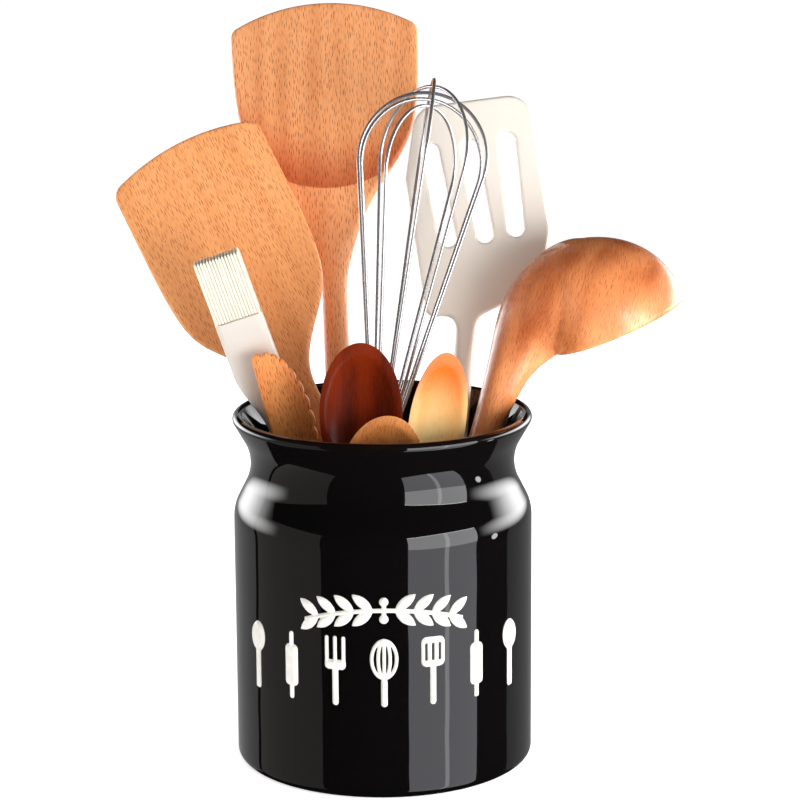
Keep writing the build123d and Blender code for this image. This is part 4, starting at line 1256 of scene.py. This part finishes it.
# %% Pastry brush handle
BRUSH_GRIP, SLEEVE_HALF, SLEEVE_DEEP, SLEEVE_TOP = 5.5, 12.5, 5.3, 232.3
SLEEVE_FOOT, TAPER_FOOT, SLEEVE_ROUND, MOUTH_ROUND = 202.3, 168.3, 3.6, 0.4
POCKET_FLOOR = SLEEVE_TOP - 4.0
brush_rows = []
for angle in np.radians(np.linspace(-90, 0, 9)):
    girth = BRUSH_GRIP * math.cos(angle)
    brush_rows.append((BRUSH_GRIP * math.sin(angle), girth, girth, girth))
for level in np.linspace(20, TAPER_FOOT - 8, 8):
    brush_rows.append((level, BRUSH_GRIP, BRUSH_GRIP, BRUSH_GRIP))
for share in np.linspace(0, 1, 18):
    ease = smooth_step(share, 0, 1)
    level = TAPER_FOOT + (SLEEVE_FOOT - TAPER_FOOT) * share
    across = BRUSH_GRIP + (SLEEVE_HALF - BRUSH_GRIP) * ease
    corner = BRUSH_GRIP + (SLEEVE_ROUND - BRUSH_GRIP) * ease
    brush_rows.append((level, across, max(SLEEVE_DEEP, corner), corner))
for level in np.linspace(SLEEVE_FOOT + 4, SLEEVE_TOP - MOUTH_ROUND - 1, 6):
    brush_rows.append((level, SLEEVE_HALF, SLEEVE_DEEP, SLEEVE_ROUND))
for angle in np.radians(np.linspace(0, 90, 5)):
    inset = MOUTH_ROUND * (1 - math.cos(angle))
    level = SLEEVE_TOP - MOUTH_ROUND * (1 - math.sin(angle))
    brush_rows.append((level, SLEEVE_HALF - inset, SLEEVE_DEEP - inset, SLEEVE_ROUND - inset))
brush_rows += [
    (SLEEVE_TOP, 11.9, 4.0, 2.2),
    (SLEEVE_TOP - 0.2, 11.85, 3.95, 2.2),
    (POCKET_FLOOR, 11.85, 3.95, 2.2),
    (POCKET_FLOOR, 6.0, 1.0, 0.5),
    (POCKET_FLOOR, 0.0, 0.0, 0.0),
]
rows = section_rows(brush_rows)
brush_handle = close_seams(
    new_piece(
        "brush_sleeve", seats["brush"].place(rows.reshape(-1, 3)), grid_faces(*rows.shape[:2])
    )
)
plastic = new_material("brush_plastic", Base_Color=srgb(214, 206, 196), Roughness=0.38)[0]
dress(brush_handle, plastic, "brush", "brush_plastic", "brush_handle")
print("brush handle", len(brush_handle.data.polygons), "faces")

# %% [markdown]
# The brush has a moulded head: a backing with flat silicone strands in fifteen columns. Blender's
# hair could draw them, but an export would lose it. So each strand is a real six-sided bar that
# narrows to its tip and bends a little its own way.

# %% Silicone
SCATTER_DEPTHS = (0.003, 0.002, 0.0015)


def silicone(name, colour, roughness, scattered):
    """Silicone: a share of the light goes in and scatters, red deepest, as the three depths say."""
    values = {"Roughness": roughness, "Subsurface_Weight": scattered, "Subsurface_Radius": SCATTER_DEPTHS}
    return new_material(name, Base_Color=srgb(*colour), **values)[0]


bristle_silicone = silicone("bristle_silicone", (238, 227, 208), 0.5, 0.5)
print("material", bristle_silicone.name)

# %% Bristles
COLUMNS, ROWS, COLUMN_PITCH, ROW_PITCH, STRAND_LENGTH = 15, 20, 1.6, 0.4, 34.2
STRAND_ACROSS, STRAND_DEEP, STRAND_ROOT = 0.77, 0.2, 3.5
HEAD_ACROSS, HEAD_DEEP, HEAD_CORNER = 9.2, 1.9, 3.0

rng = np.random.default_rng(7)
strand_share = np.array((0.0, 0.3, 0.6, 0.85, 0.97, 1.0))
strand_size = np.array((1.0, 1.0, 0.99, 0.98, 0.93, 0.3))
strand_turn = np.radians(np.arange(6) * 60)
column, row = np.meshgrid(np.arange(COLUMNS), np.arange(ROWS))
base_x = ((column - (COLUMNS - 1) / 2) * COLUMN_PITCH).reshape(-1)
base_y = ((row - (ROWS - 1) / 2) * ROW_PITCH).reshape(-1)
past_x, past_y = np.maximum(abs(base_x) - HEAD_ACROSS, 0), np.maximum(abs(base_y) - HEAD_DEEP, 0)
kept = np.hypot(past_x, past_y) < HEAD_CORNER
base_x, base_y = base_x[kept], base_y[kept]
bend_x = rng.normal(0, 0.05, len(base_x))[:, None, None]
bend_y = rng.normal(0, 0.12, len(base_x))[:, None, None]
height = (STRAND_LENGTH + STRAND_ROOT - rng.uniform(0, 0.3, len(base_x)))[:, None, None]
share = strand_share[None, :, None]
size = strand_size[None, :, None]
strands = np.stack(
    np.broadcast_arrays(
        base_x[:, None, None] + bend_x * share**2 + STRAND_ACROSS * size * np.cos(strand_turn),
        base_y[:, None, None] + bend_y * share**2 + STRAND_DEEP * size * np.sin(strand_turn),
        SLEEVE_TOP - STRAND_ROOT + height * share,
    ),
    axis=-1,
)
count, rings, sides = strands.shape[:3]
one = grid_faces(rings, sides)
faces = (np.arange(count)[:, None, None] * rings * sides + one[None]).reshape(-1, 4)
backing_sizes = ((0.0, 0, 0, 0), (0.0, 11.6, 3.7, 2.0), (3.9, 11.6, 3.7, 2.0), (3.9, 0, 0, 0))
backing = section_rows([(POCKET_FLOOR + up, *sizes) for up, *sizes in backing_sizes])
points = np.vstack((strands.reshape(-1, 3), backing.reshape(-1, 3)))
faces = np.vstack((faces, grid_faces(*backing.shape[:2]) + strands.size // 3))
bristles = close_seams(new_piece("brush_strands", seats["brush"].place(points), faces), 0.002)
dress(bristles, bristle_silicone, "brush", "bristle_silicone", "brush_head")
print("strands", count, "with", len(bristles.data.polygons), "faces")

# %% [markdown]
# The balloon whisk has a steel tube for a handle, a plug in its mouth and five closed wire loops.
# Each loop lies in one plane: two legs, two soft bends and a round top. A curve with a bevel would
# draw it too, but here the path is arcs and runs, so that it meets the frame's wire exactly.

# %% A wire along a path
def swept(name, path, across, normal, radius, sides=24):
    """Round tube along a flat path of (out, up) points; its ends close in a point."""
    slope = np.gradient(path, axis=0)
    slope = slope / np.linalg.norm(slope, axis=1)[:, None]
    inward = np.c_[-slope[:, 1], slope[:, 0]]
    across = np.asarray(across, float)
    up = np.array((0.0, 0.0, 1.0))
    centre = path[:, :1] * across + path[:, 1:] * up
    inward = inward[:, :1] * across + inward[:, 1:] * up
    turn = full_turn(sides)[None, :, None]
    ring = np.cos(turn) * inward[:, None] + np.sin(turn) * np.asarray(normal)
    rows = centre[:, None] + radius * ring
    ends = [np.repeat(centre[end : end + 1 or None, None], sides, axis=1) for end in (0, -1)]
    rows = np.concatenate((ends[0], rows, ends[1]))
    points = seats["whisk"].place(rows.reshape(-1, 3))
    return close_seams(new_piece(name, points, grid_faces(len(rows), sides)), 0.002)


# %% Whisk wires
WIRE, LEG_CIRCLE, BEND, SPLAY = 0.9, 5.0, 22.0, math.radians(11.4)
BALLOON, BALLOON_STEP, LOOP_TOP, LOOP_TOP_STEP = 36.4, 1.3, 340.6, 3.4
LOOP_COUNT, PLUG_TOP = 5, 130.0

steel_tone = srgb(196, 196, 198)
steel = new_material("polished_steel", Base_Color=steel_tone, Metallic=0.82, Roughness=0.22)[0]
splay = math.degrees(SPLAY)
bend_end = LEG_CIRCLE + BEND * (1 - math.cos(SPLAY))
for number in range(LOOP_COUNT):
    balloon = BALLOON - number * BALLOON_STEP
    middle = LOOP_TOP - number * LOOP_TOP_STEP - balloon
    touch = np.array((balloon * math.cos(SPLAY), middle - balloon * math.sin(SPLAY)))
    bend_top = touch[1] - (touch[0] - bend_end) / math.tan(SPLAY)
    bend_foot = bend_top - BEND * math.sin(SPLAY)
    half = np.vstack(
        (
            [(LEG_CIRCLE, PLUG_TOP - 12.0)],
            run((LEG_CIRCLE, PLUG_TOP - 12.0), (LEG_CIRCLE, bend_foot), 4),
            arc((LEG_CIRCLE + BEND, bend_foot), BEND, 180, 180 - splay, 8),
            run((bend_end, bend_top), touch, 30),
            arc((0, middle), balloon, -splay, 90, 60),
        )
    )
    path = np.vstack((half, (half * (-1, 1))[-2::-1]))
    turn = math.radians(90 + number * 180 / LOOP_COUNT)
    across = (math.cos(turn), math.sin(turn), 0.0)
    normal = (-math.sin(turn), math.cos(turn), 0.0)
    name = "whisk_loop_" + str(number + 1)
    wire = swept("wire_" + str(number + 1), path, across, normal, WIRE)
    dress(wire, steel, "whisk", "wire_steel", name)
print("whisk wires", LOOP_COUNT, "each", len(wire.data.polygons), "faces")

# %% [markdown]
# The handle is a thin tube, drawn narrower at its mouth, with a rounded butt. A cone would do for
# the outside, but its open mouth shows, so the profile turns over and runs back down inside.
# The plug is turned from its own profile and fills the mouth.

# %% Whisk handle and plug
TUBE_RADIUS, MOUTH_RADIUS, TUBE_LENGTH, TUBE_WALL = 9.5, 8.2, 126.0, 1.0

brushed_tone, plug_tone = srgb(200, 200, 202), srgb(90, 90, 92)
brushed = new_material("brushed_steel", Base_Color=brushed_tone, Metallic=1.0, Roughness=0.3)[0]
plug_plastic = new_material("grey_plug", Base_Color=plug_tone, Roughness=0.5)[0]
tube_profile = np.vstack(
    (
        arc((0, 0), TUBE_RADIUS, -90, 0, 16),
        run((TUBE_RADIUS, 0), (MOUTH_RADIUS, TUBE_LENGTH), 20),
        arc((MOUTH_RADIUS - 0.5, TUBE_LENGTH - 0.5), 0.5, 0, 180, 10),
        run((MOUTH_RADIUS - TUBE_WALL, TUBE_LENGTH - 0.5), (TUBE_RADIUS - TUBE_WALL, 0), 12),
        arc((0, 0), TUBE_RADIUS - TUBE_WALL, 0, -90, 12),
    )
)
tube = lathe("whisk_tube", tube_profile, seats["whisk"], 72)
dress(tube, brushed, "whisk", "handle_steel", "whisk_handle")
plug_profile = np.vstack(
    (
        [(0, PLUG_TOP - 18.0)],
        arc((6.4, PLUG_TOP - 17.3), 0.7, -90, 0, 4),
        arc((6.1, PLUG_TOP - 1.0), 1.0, 0, 90, 6),
        [(0, PLUG_TOP)],
    )
)
plug = lathe("whisk_plug_moulded", plug_profile, seats["whisk"], 64)
dress(plug, plug_plastic, "whisk", "plug_plastic", "whisk_plug")
print("tube and plug", len(tube.data.polygons), len(plug.data.polygons), "faces")

# %% [markdown]
# The slotted turner is moulded in one piece, with a soft edge all round, also in its slots. Its
# whole face is one distance: how deep each spot lies inside the outline and outside the slots.
# The skin bulges with that distance, and the grid's border is pulled onto the outline. Slots cut
# out of a solid would have hard edges.

# %% Outline of the slotted turner
BLADE_FOOT, BLADE_TALL, BLADE_WIDE = 211.0, 121.0, 77.0
blade_shares = (
    (-0.27, 0.0, 5.0),
    (-0.48, 0.59, 5.0),
    (-0.45, 0.90, 13.0),
    (0.31, 1.0, 13.0),
    (0.52, 0.42, 5.0),
    (0.49, 0.16, 5.0),
    (0.14, 0.045, 5.0),
)


def blade_spot(across, up):
    """Place on the blade from shares of its width and height."""
    return np.array((across * BLADE_WIDE, BLADE_FOOT + up * BLADE_TALL))


def rounded_outline(corners):
    """Closed outline with each (across, up, radius) corner replaced by its fillet arc."""
    spots = [blade_spot(across, up) for across, up, _ in corners]
    turned = [
        rounded_corner(spots[k - 1], spots[k], spots[(k + 1) % len(spots)], corners[k][2])
        for k in range(len(spots))
    ]
    return np.vstack(turned)


def outline_distance(x, z, loop):
    """Distance to a closed outline, negative inside, where a ray crosses it an odd number of times."""
    spots = np.stack((x, z), axis=-1).reshape(-1, 1, 2)
    along = (np.roll(loop, -1, axis=0) - loop)[None]
    offset = spots - loop[None]
    share = np.clip((offset * along).sum(-1) / (along**2).sum(-1), 0, 1)
    nearest = np.linalg.norm(offset - share[..., None] * along, axis=-1).min(axis=1)
    spans = (offset[..., 1] < 0) != (offset[..., 1] - along[..., 1] < 0)
    rise = np.where(along[..., 1] == 0, 1, along[..., 1])
    right_of_it = offset[..., 0] < offset[..., 1] / rise * along[..., 0]
    inside = (spans & right_of_it).sum(axis=1) % 2 == 1
    return np.where(inside, -nearest, nearest).reshape(x.shape)


outline = rounded_outline(blade_shares)
print("blade outline", len(outline), "points")

# %% The slotted turner's skin
BLADE_HALF, GRIP_HALF, SLOT_HALF, SLOT_LENGTH = 1.7, 5.0, 4.35, 55.0
PLATE_GRID, PLATE_HALF, FAR = 0.55, 42.0, 60.0
GRIP_INTO_BLADE, NECK_BLEND, BORDER_SHARE = 14, 9.0, 0.3
THIN_BELOW, THIN_ABOVE = 45, 12
slot_shares = ((-0.245, 0.53, 15.4), (0.008, 0.56, 14.4), (0.238, 0.60, 10.0))

x = np.arange(-PLATE_HALF, PLATE_HALF, PLATE_GRID)
z = np.arange(-GRIP_HALF - 1, BLADE_FOOT + BLADE_TALL + 1, PLATE_GRID)
x, z = np.meshgrid(x, z)
high = z[:, 0] > BLADE_FOOT - 30
blade = np.full(x.shape, FAR)
blade[high] = outline_distance(x[high], z[high], outline)
grip = capsule(x, z, (0, 0), (0, BLADE_FOOT + GRIP_INTO_BLADE), GRIP_HALF)
face = joined(blade, grip, blend=NECK_BLEND)
for across, up, lean in slot_shares:
    middle, lean = blade_spot(across, up), math.radians(lean)
    reach = (SLOT_LENGTH / 2 - SLOT_HALF) * np.array((-math.sin(lean), math.cos(lean)))
    face = np.maximum(face, -capsule(x, z, middle - reach, middle + reach, SLOT_HALF))
depth = -face
slope_z, slope_x = np.gradient(depth, PLATE_GRID)
thin = smooth_step(z, BLADE_FOOT - THIN_BELOW, BLADE_FOOT + THIN_ABOVE)
bulge = GRIP_HALF * (1 - thin) + BLADE_HALF * thin
lift = bulge * np.sqrt(np.maximum(1 - np.clip(1 - depth / bulge, 0, 1) ** 2, 0))
on_border = depth < BORDER_SHARE * PLATE_GRID
steep = np.maximum(slope_x**2 + slope_z**2, 0.25)
snapped_x = np.where(on_border, x - depth * slope_x / steep, x)
snapped_z = np.where(on_border, z - depth * slope_z / steep, z)
lift = np.where(on_border, 0, lift)
faces = grid_faces(*x.shape, around=False)
faces = faces[(~on_border).reshape(-1)[faces].any(axis=1)]
sheets = [
    seats["slotted_turner"].place(np.stack((snapped_x, side * lift, snapped_z), axis=-1))
    for side in (-1, 1)
]
slotted = two_sheets("slotted_turner_moulded", *sheets, faces)
white_silicone = silicone("white_silicone", (224, 216, 204), 0.42, 0.1)
dress(slotted, white_silicone, "slotted_turner", "white_silicone", "slotted_turner")
print("slotted turner", len(slotted.data.polygons), "faces")

# %% [markdown]
# The ladle is carved from one block: a deep bowl, turned over, whose side runs on into the handle.
# A dome, a throat and a handle are made apart, then melted into one skin of small cells, which is
# relaxed so that the joins flow, and hollowed last by a dome whose mouth rounds the rim. Three
# solids joined as they are would keep their seams.

# %% The ladle's bowl
BOWL_RADIUS, BOWL_DEPTH, BOWL_WALL, BOWL_POWER, TOP_LEANS_BACK = 36.6, 50.6, 4.5, 2.3, 12.0
BOWL_OUT, BOWL_UP, BOWL_TILT = 50.0, 232.4, 40.0
ARC_SHORT, LIP_GAP = 0.045, 0.4


def dome_profile(inset, mouth):
    """Half section of the bowl from top to mouth: radius and depth as a rounded square's arc."""
    turn = np.linspace(0, math.pi / 2 - ARC_SHORT, 60)
    power = 2 / BOWL_POWER
    radius = (BOWL_RADIUS - inset) * np.sin(turn) ** power
    depth = (BOWL_DEPTH - inset) * np.cos(turn) ** power
    wall = np.c_[radius, depth]
    return np.vstack((wall[depth > BOWL_WALL / 2 + LIP_GAP], mouth))


def bowl_points(profile, steps):
    """Profile carried round the bowl's tilted axis; its top leans back to the handle."""
    turn = full_turn(steps)
    lean_back = TOP_LEANS_BACK * (np.maximum(profile[:, 1:], 0) / BOWL_DEPTH) ** 3
    x = profile[:, :1] * np.cos(turn) - lean_back
    y = profile[:, :1] * np.sin(turn)
    z = profile[:, 1:] + 0 * turn
    tilt = math.radians(BOWL_TILT)
    right = BOWL_OUT + x * math.cos(tilt) - z * math.sin(tilt)
    up = BOWL_UP + x * math.sin(tilt) + z * math.cos(tilt)
    return np.stack((right, y, up), axis=-1)


lip_round = BOWL_WALL / 2
outside_mouth = np.vstack((arc((BOWL_RADIUS - lip_round, lip_round), lip_round, 0, -90, 8), [(0, 0)]))
outside_dome = bowl_points(dome_profile(0, outside_mouth), 128)
inside_lip = arc((BOWL_RADIUS - lip_round, lip_round), lip_round, 180, 270, 10)
collar = [(BOWL_RADIUS - lip_round + 0.3, -1.0), (BOWL_RADIUS + 2, -6.0), (0, -6.0)]
inside_dome = bowl_points(dome_profile(BOWL_WALL, np.vstack((inside_lip, collar))), 144)
print("bowl", outside_dome.shape[:2], "points outside,", inside_dome.shape[:2], "inside")

# %% The ladle's throat and handle
LADLE_GRIP, LADLE_NECK, LADLE_LENGTH, THROAT_STEPS = 6.0, 7.9, 169.5, 72

# Along the throat: out, up, half across, half deep, and how far the section leans, in degrees.
throat_sections = (
    (0.0, 169.5, 7.9, 7.9, 0.0),
    (2.3, 197.5, 12.0, 10.6, 9.7),
    (6.5, 217.0, 18.9, 16.2, 21.8),
    (12.0, 230.5, 23.2, 22.5, 39.0),
    (20.8, 241.6, 25.4, 26.5, 47.0),
    (33.3, 250.8, 24.2, 27.0, 54.8),
    (50.0, 255.0, 15.7, 20.0, 62.0),
)

known = np.array(throat_sections)
curved = spline_through(known, known[1] - known[0], known[-1] - known[-2], 80)
out, up, across, deep, lean = (column[:, None] for column in curved.T)
turn = full_turn(THROAT_STEPS)
lean = np.radians(lean)
x, y = across * np.cos(turn), deep * np.sin(turn)
throat = np.stack((out + x * np.cos(lean), y, up - x * np.sin(lean)), axis=-1)
caps = [np.repeat(throat[end].mean(axis=0)[None, None], THROAT_STEPS, axis=1) for end in (0, -1)]
throat = np.concatenate((caps[0], throat, caps[1]))

grip_profile = np.vstack(
    (
        arc((0, 0), LADLE_GRIP, -90, 0, 14),
        run((LADLE_GRIP, 0), (LADLE_NECK, LADLE_LENGTH), 60),
        [(LADLE_NECK, LADLE_LENGTH + 3), (0, LADLE_LENGTH + 3)],
    )
)
grip = carried_round(grip_profile, 64)
print("throat", throat.shape[:2], "points, handle", grip.shape[:2])

# %% The ladle in one skin
SKIN_CELL, RELAX_ROUNDS, TO_MEAN, FROM_MEAN = 0.8, 90, 0.55, -0.57
JOINS_FROM, JOINS_TO, RIM_KEPT, RIM_FREE, LEAST_WEIGHT = 120, 175, 3, 12, 0.35

points, faces, start = [], [], 0
for part in (outside_dome, throat, grip):
    points.append(part.reshape(-1, 3))
    faces.append(grid_faces(*part.shape[:2]) + start)
    start += part.size // 3
block = close_seams(new_piece("ladle_carved", np.concatenate(points), np.concatenate(faces)))


def applied(piece, kind, **settings):
    """Works a modifier into a piece's mesh for good."""
    modifier = piece.modifiers.new(kind.lower(), kind)
    for setting, value in settings.items():
        setattr(modifier, setting, value)
    seen = piece.evaluated_get(bpy.context.evaluated_depsgraph_get())
    mesh = bpy.data.meshes.new_from_object(seen)
    piece.modifiers.clear()
    piece.data = mesh


def relax(points, edges, weight, rounds):
    """Moves each point to and from the mean of its neighbours in turn, which smooths without shrinking."""
    ends = np.concatenate((edges, edges[:, ::-1]))
    neighbours = np.bincount(ends[:, 0], minlength=len(points))[:, None]
    for step in (TO_MEAN, FROM_MEAN) * rounds:
        total = [np.bincount(ends[:, 0], points[ends[:, 1], axis], len(points)) for axis in range(3)]
        points = points + step * weight * (np.stack(total, axis=-1) / neighbours - points)
    return points


applied(block, "REMESH", mode="VOXEL", voxel_size=SKIN_CELL * MM)
spots = vertex_places(block)
edges = np.zeros(len(block.data.edges) * 2, int)
block.data.edges.foreach_get("vertices", edges)
tilt = math.radians(BOWL_TILT)
bowl_axis = np.array((-math.sin(tilt), 0, math.cos(tilt)))
above_rim = (spots - (BOWL_OUT, 0, BOWL_UP)) @ bowl_axis
joins = smooth_step(spots[:, 2], JOINS_FROM, JOINS_TO) * smooth_step(above_rim, RIM_KEPT, RIM_FREE)
weight = LEAST_WEIGHT + (1 - LEAST_WEIGHT) * joins[:, None]
spots = relax(spots, edges.reshape(-1, 2), weight, RELAX_ROUNDS)
spots = seats["ladle"].place(spots) * MM
block.data.vertices.foreach_set("co", spots.reshape(-1))
block.data.update()
print("ladle block", len(spots), "points")

# %% The ladle hollowed
hollow = new_piece(
    "ladle_hollow",
    seats["ladle"].place(inside_dome.reshape(-1, 3)),
    grid_faces(*inside_dome.shape[:2]),
)
close_seams(hollow)
applied(block, "BOOLEAN", operation="DIFFERENCE", object=hollow, solver="MANIFOLD")
bpy.data.objects.remove(hollow)
ladle = close_seams(block, 0.002)
dress(ladle, wood["ladle"], "ladle", "ladle_wood", "ladle")
print("ladle", len(ladle.data.polygons), "faces")

# %% [markdown]
# The photograph is a product shot in a white room. The floor and the room are white to the eye,
# but the glaze mirrors only the soft boxes and a dark studio. The world tells the kinds of ray
# apart, and the floor is left out of reflections, so that the boxes reach down to the foot. One
# white world for every ray would be simpler, but the black glaze would turn grey.

# %% World and floor
world = bpy.data.worlds.new("studio")
scene.world = world
world.use_nodes = True
world_tree = world.node_tree
ray = add_node(world_tree, "ShaderNodeLightPath", {})
fill, dark_studio, white = (0.46, 0.46, 0.47, 1), (0.012, 0.011, 0.011, 1), (1, 1, 1, 1)
mirrored = mix_colour(world_tree, ray.outputs["Is Glossy Ray"], fill, dark_studio)
room = mix_colour(world_tree, ray.outputs["Is Camera Ray"], mirrored, white)
world_tree.links.new(room, world_tree.nodes["Background"].inputs["Color"])

FLOOR_REACH = 8000
floor_spots = [
    (across * FLOOR_REACH, back * FLOOR_REACH, 0)
    for across, back in ((-1, -1), (1, -1), (1, 1), (-1, 1))
]
floor = new_piece("floor", floor_spots, [(0, 1, 2, 3)])
floor_look = {
    "Base_Color": (0.9, 0.9, 0.9, 1),
    "Roughness": 0.9,
    "Specular_IOR_Level": 0.0,
    "Emission_Color": (1, 1, 1, 1),
    "Emission_Strength": 0.62,
}
floor.data.materials.append(new_material("pale_floor", **floor_look)[0])
floor.visible_glossy = False
print("floor", 2 * FLOOR_REACH * MM, "m wide, world", world.name)

# %% [markdown]
# On black glaze a light is seen more than felt: its mirror image is the bright panel on the wall.
# So each box was placed by the direction that the glaze mirrors it from. Two more lights aren't
# mirrored, and brighten the wood and the slip. A picture of a whole studio would be quicker, but
# nothing in it could be moved by itself.

# %% Soft boxes
def soft_box(name, azimuth, elevation, distance, width, height, level, radiance, tint=(1, 1, 1)):
    """Rectangular light that faces the crock: azimuth from the front to the right, in degrees."""
    turn, rise = math.radians(azimuth), math.radians(elevation)
    light = bpy.data.lights.new(name, "AREA")
    light.shape = "RECTANGLE"
    light.size, light.size_y = width, height
    light.energy = radiance * width * height * math.pi
    light.color = tint
    box = bpy.data.objects.new(name, light)
    scene.collection.objects.link(box)
    outwards = np.array(
        (math.sin(turn) * math.cos(rise), -math.cos(turn) * math.cos(rise), math.sin(rise))
    )
    box.location = outwards * distance + (0, 0, level)
    side = unit(np.cross((0, 0, 1), outwards))
    box.rotation_euler = Matrix((side, np.cross(outwards, side), outwards)).transposed().to_euler()
    return box


# %% The lights in their places
# Azimuth, elevation, distance, width, height, level of the middle, radiance and tint.
boxes = {
    "box_right": (45.0, 0, 0.62, 0.64, 0.53, -0.25, 2.15, (1.0, 1.0, 1.08)),
    "box_above": (45.0, 0, 0.62, 0.64, 0.34, 0.185, 4.8, (1.0, 1.0, 1.03)),
    "streak_right": (46.5, 0, 0.61, 0.035, 0.84, -0.085, 2.4),
    "tube_right": (45.0, 0, 0.60, 0.62, 0.008, 0.345, 12.0),
    "box_left": (-77, 0, 0.62, 0.74, 0.88, -0.085, 0.32, (1.08, 1.0, 0.95)),
    "edge_right": (144, 0, 0.8, 1.2, 0.9, -0.065, 0.26),
    "edge_left": (-147, 0, 0.8, 1.1, 0.9, -0.065, 0.40),
    "spot_right": (80.5, -14, 0.25, 0.024, 0.034, 0.157, 7.0),
    "key": (36, 2, 1.4, 0.45, 0.45, 0.25, 5.0),
    "low_fill": (14, 0, 0.36, 0.26, 0.09, 0.2, 3.0, (1.0, 0.97, 0.92)),
}
lights = {name: soft_box(name, *values) for name, values in boxes.items()}
lights["spot_right"].data.shape = "ELLIPSE"
for name in ("key", "low_fill"):
    lights[name].visible_glossy = False
print("lights", len(lights))

# %% [markdown]
# The silver on both sides of the neck fades out softly, and an area light would give it a hard
# edge. So each of these is a panel that shines by an amount stored at its points. It also lets
# light through, so that it throws no shadow on the floor.

# %% Glow panels
METRE = 1000


def glow_panel(name, azimuth, distance, width, low, high, radiance):
    """Upright panel that is brightest in the middle and fades to nothing at its edges."""
    across, up = np.meshgrid(np.linspace(-1, 1, 25), np.linspace(-1, 1, 17))
    turn = math.radians(azimuth)
    outwards = np.array((math.sin(turn), -math.cos(turn), 0.0)) * distance * METRE
    side = np.array((math.cos(turn), math.sin(turn), 0.0)) * width * METRE / 2
    level = ((high - low) * up / 2 + (high + low) / 2) * METRE
    points = outwards + side * across[..., None]
    points = points + level[..., None] * (0, 0, 1)
    panel = new_piece(name, points, grid_faces(17, 25, around=False))
    fade = (1 - across**2) ** 1.5 * (1 - up**2) ** 1.3
    glow = panel.data.attributes.new("glow", "FLOAT", "POINT")
    glow.data.foreach_set("value", fade.reshape(-1))
    material = bpy.data.materials.new(name)
    material.use_nodes = True
    tree = material.node_tree
    tree.nodes.clear()
    shape = add_node(tree, "ShaderNodeAttribute", {}, attribute_name="glow").outputs["Fac"]
    lit = calculated(tree, "MULTIPLY", shape, radiance)
    shine = add_node(tree, "ShaderNodeEmission", {"Strength": lit}).outputs[0]
    clear = tree.nodes.new("ShaderNodeBsdfTransparent").outputs[0]
    both = add_node(tree, "ShaderNodeAddShader", {0: shine, 1: clear}).outputs[0]
    add_node(tree, "ShaderNodeOutputMaterial", {"Surface": both})
    panel.data.materials.append(material)
    panel.visible_camera = False
    return panel


glow_panel("glow_left", -124, 0.9, 1.5, 0.0, 0.46, 6.6)
glow_panel("glow_right", 117, 0.9, 1.6, 0.02, 0.48, 8.4)
scene.view_settings.view_transform = "Standard"
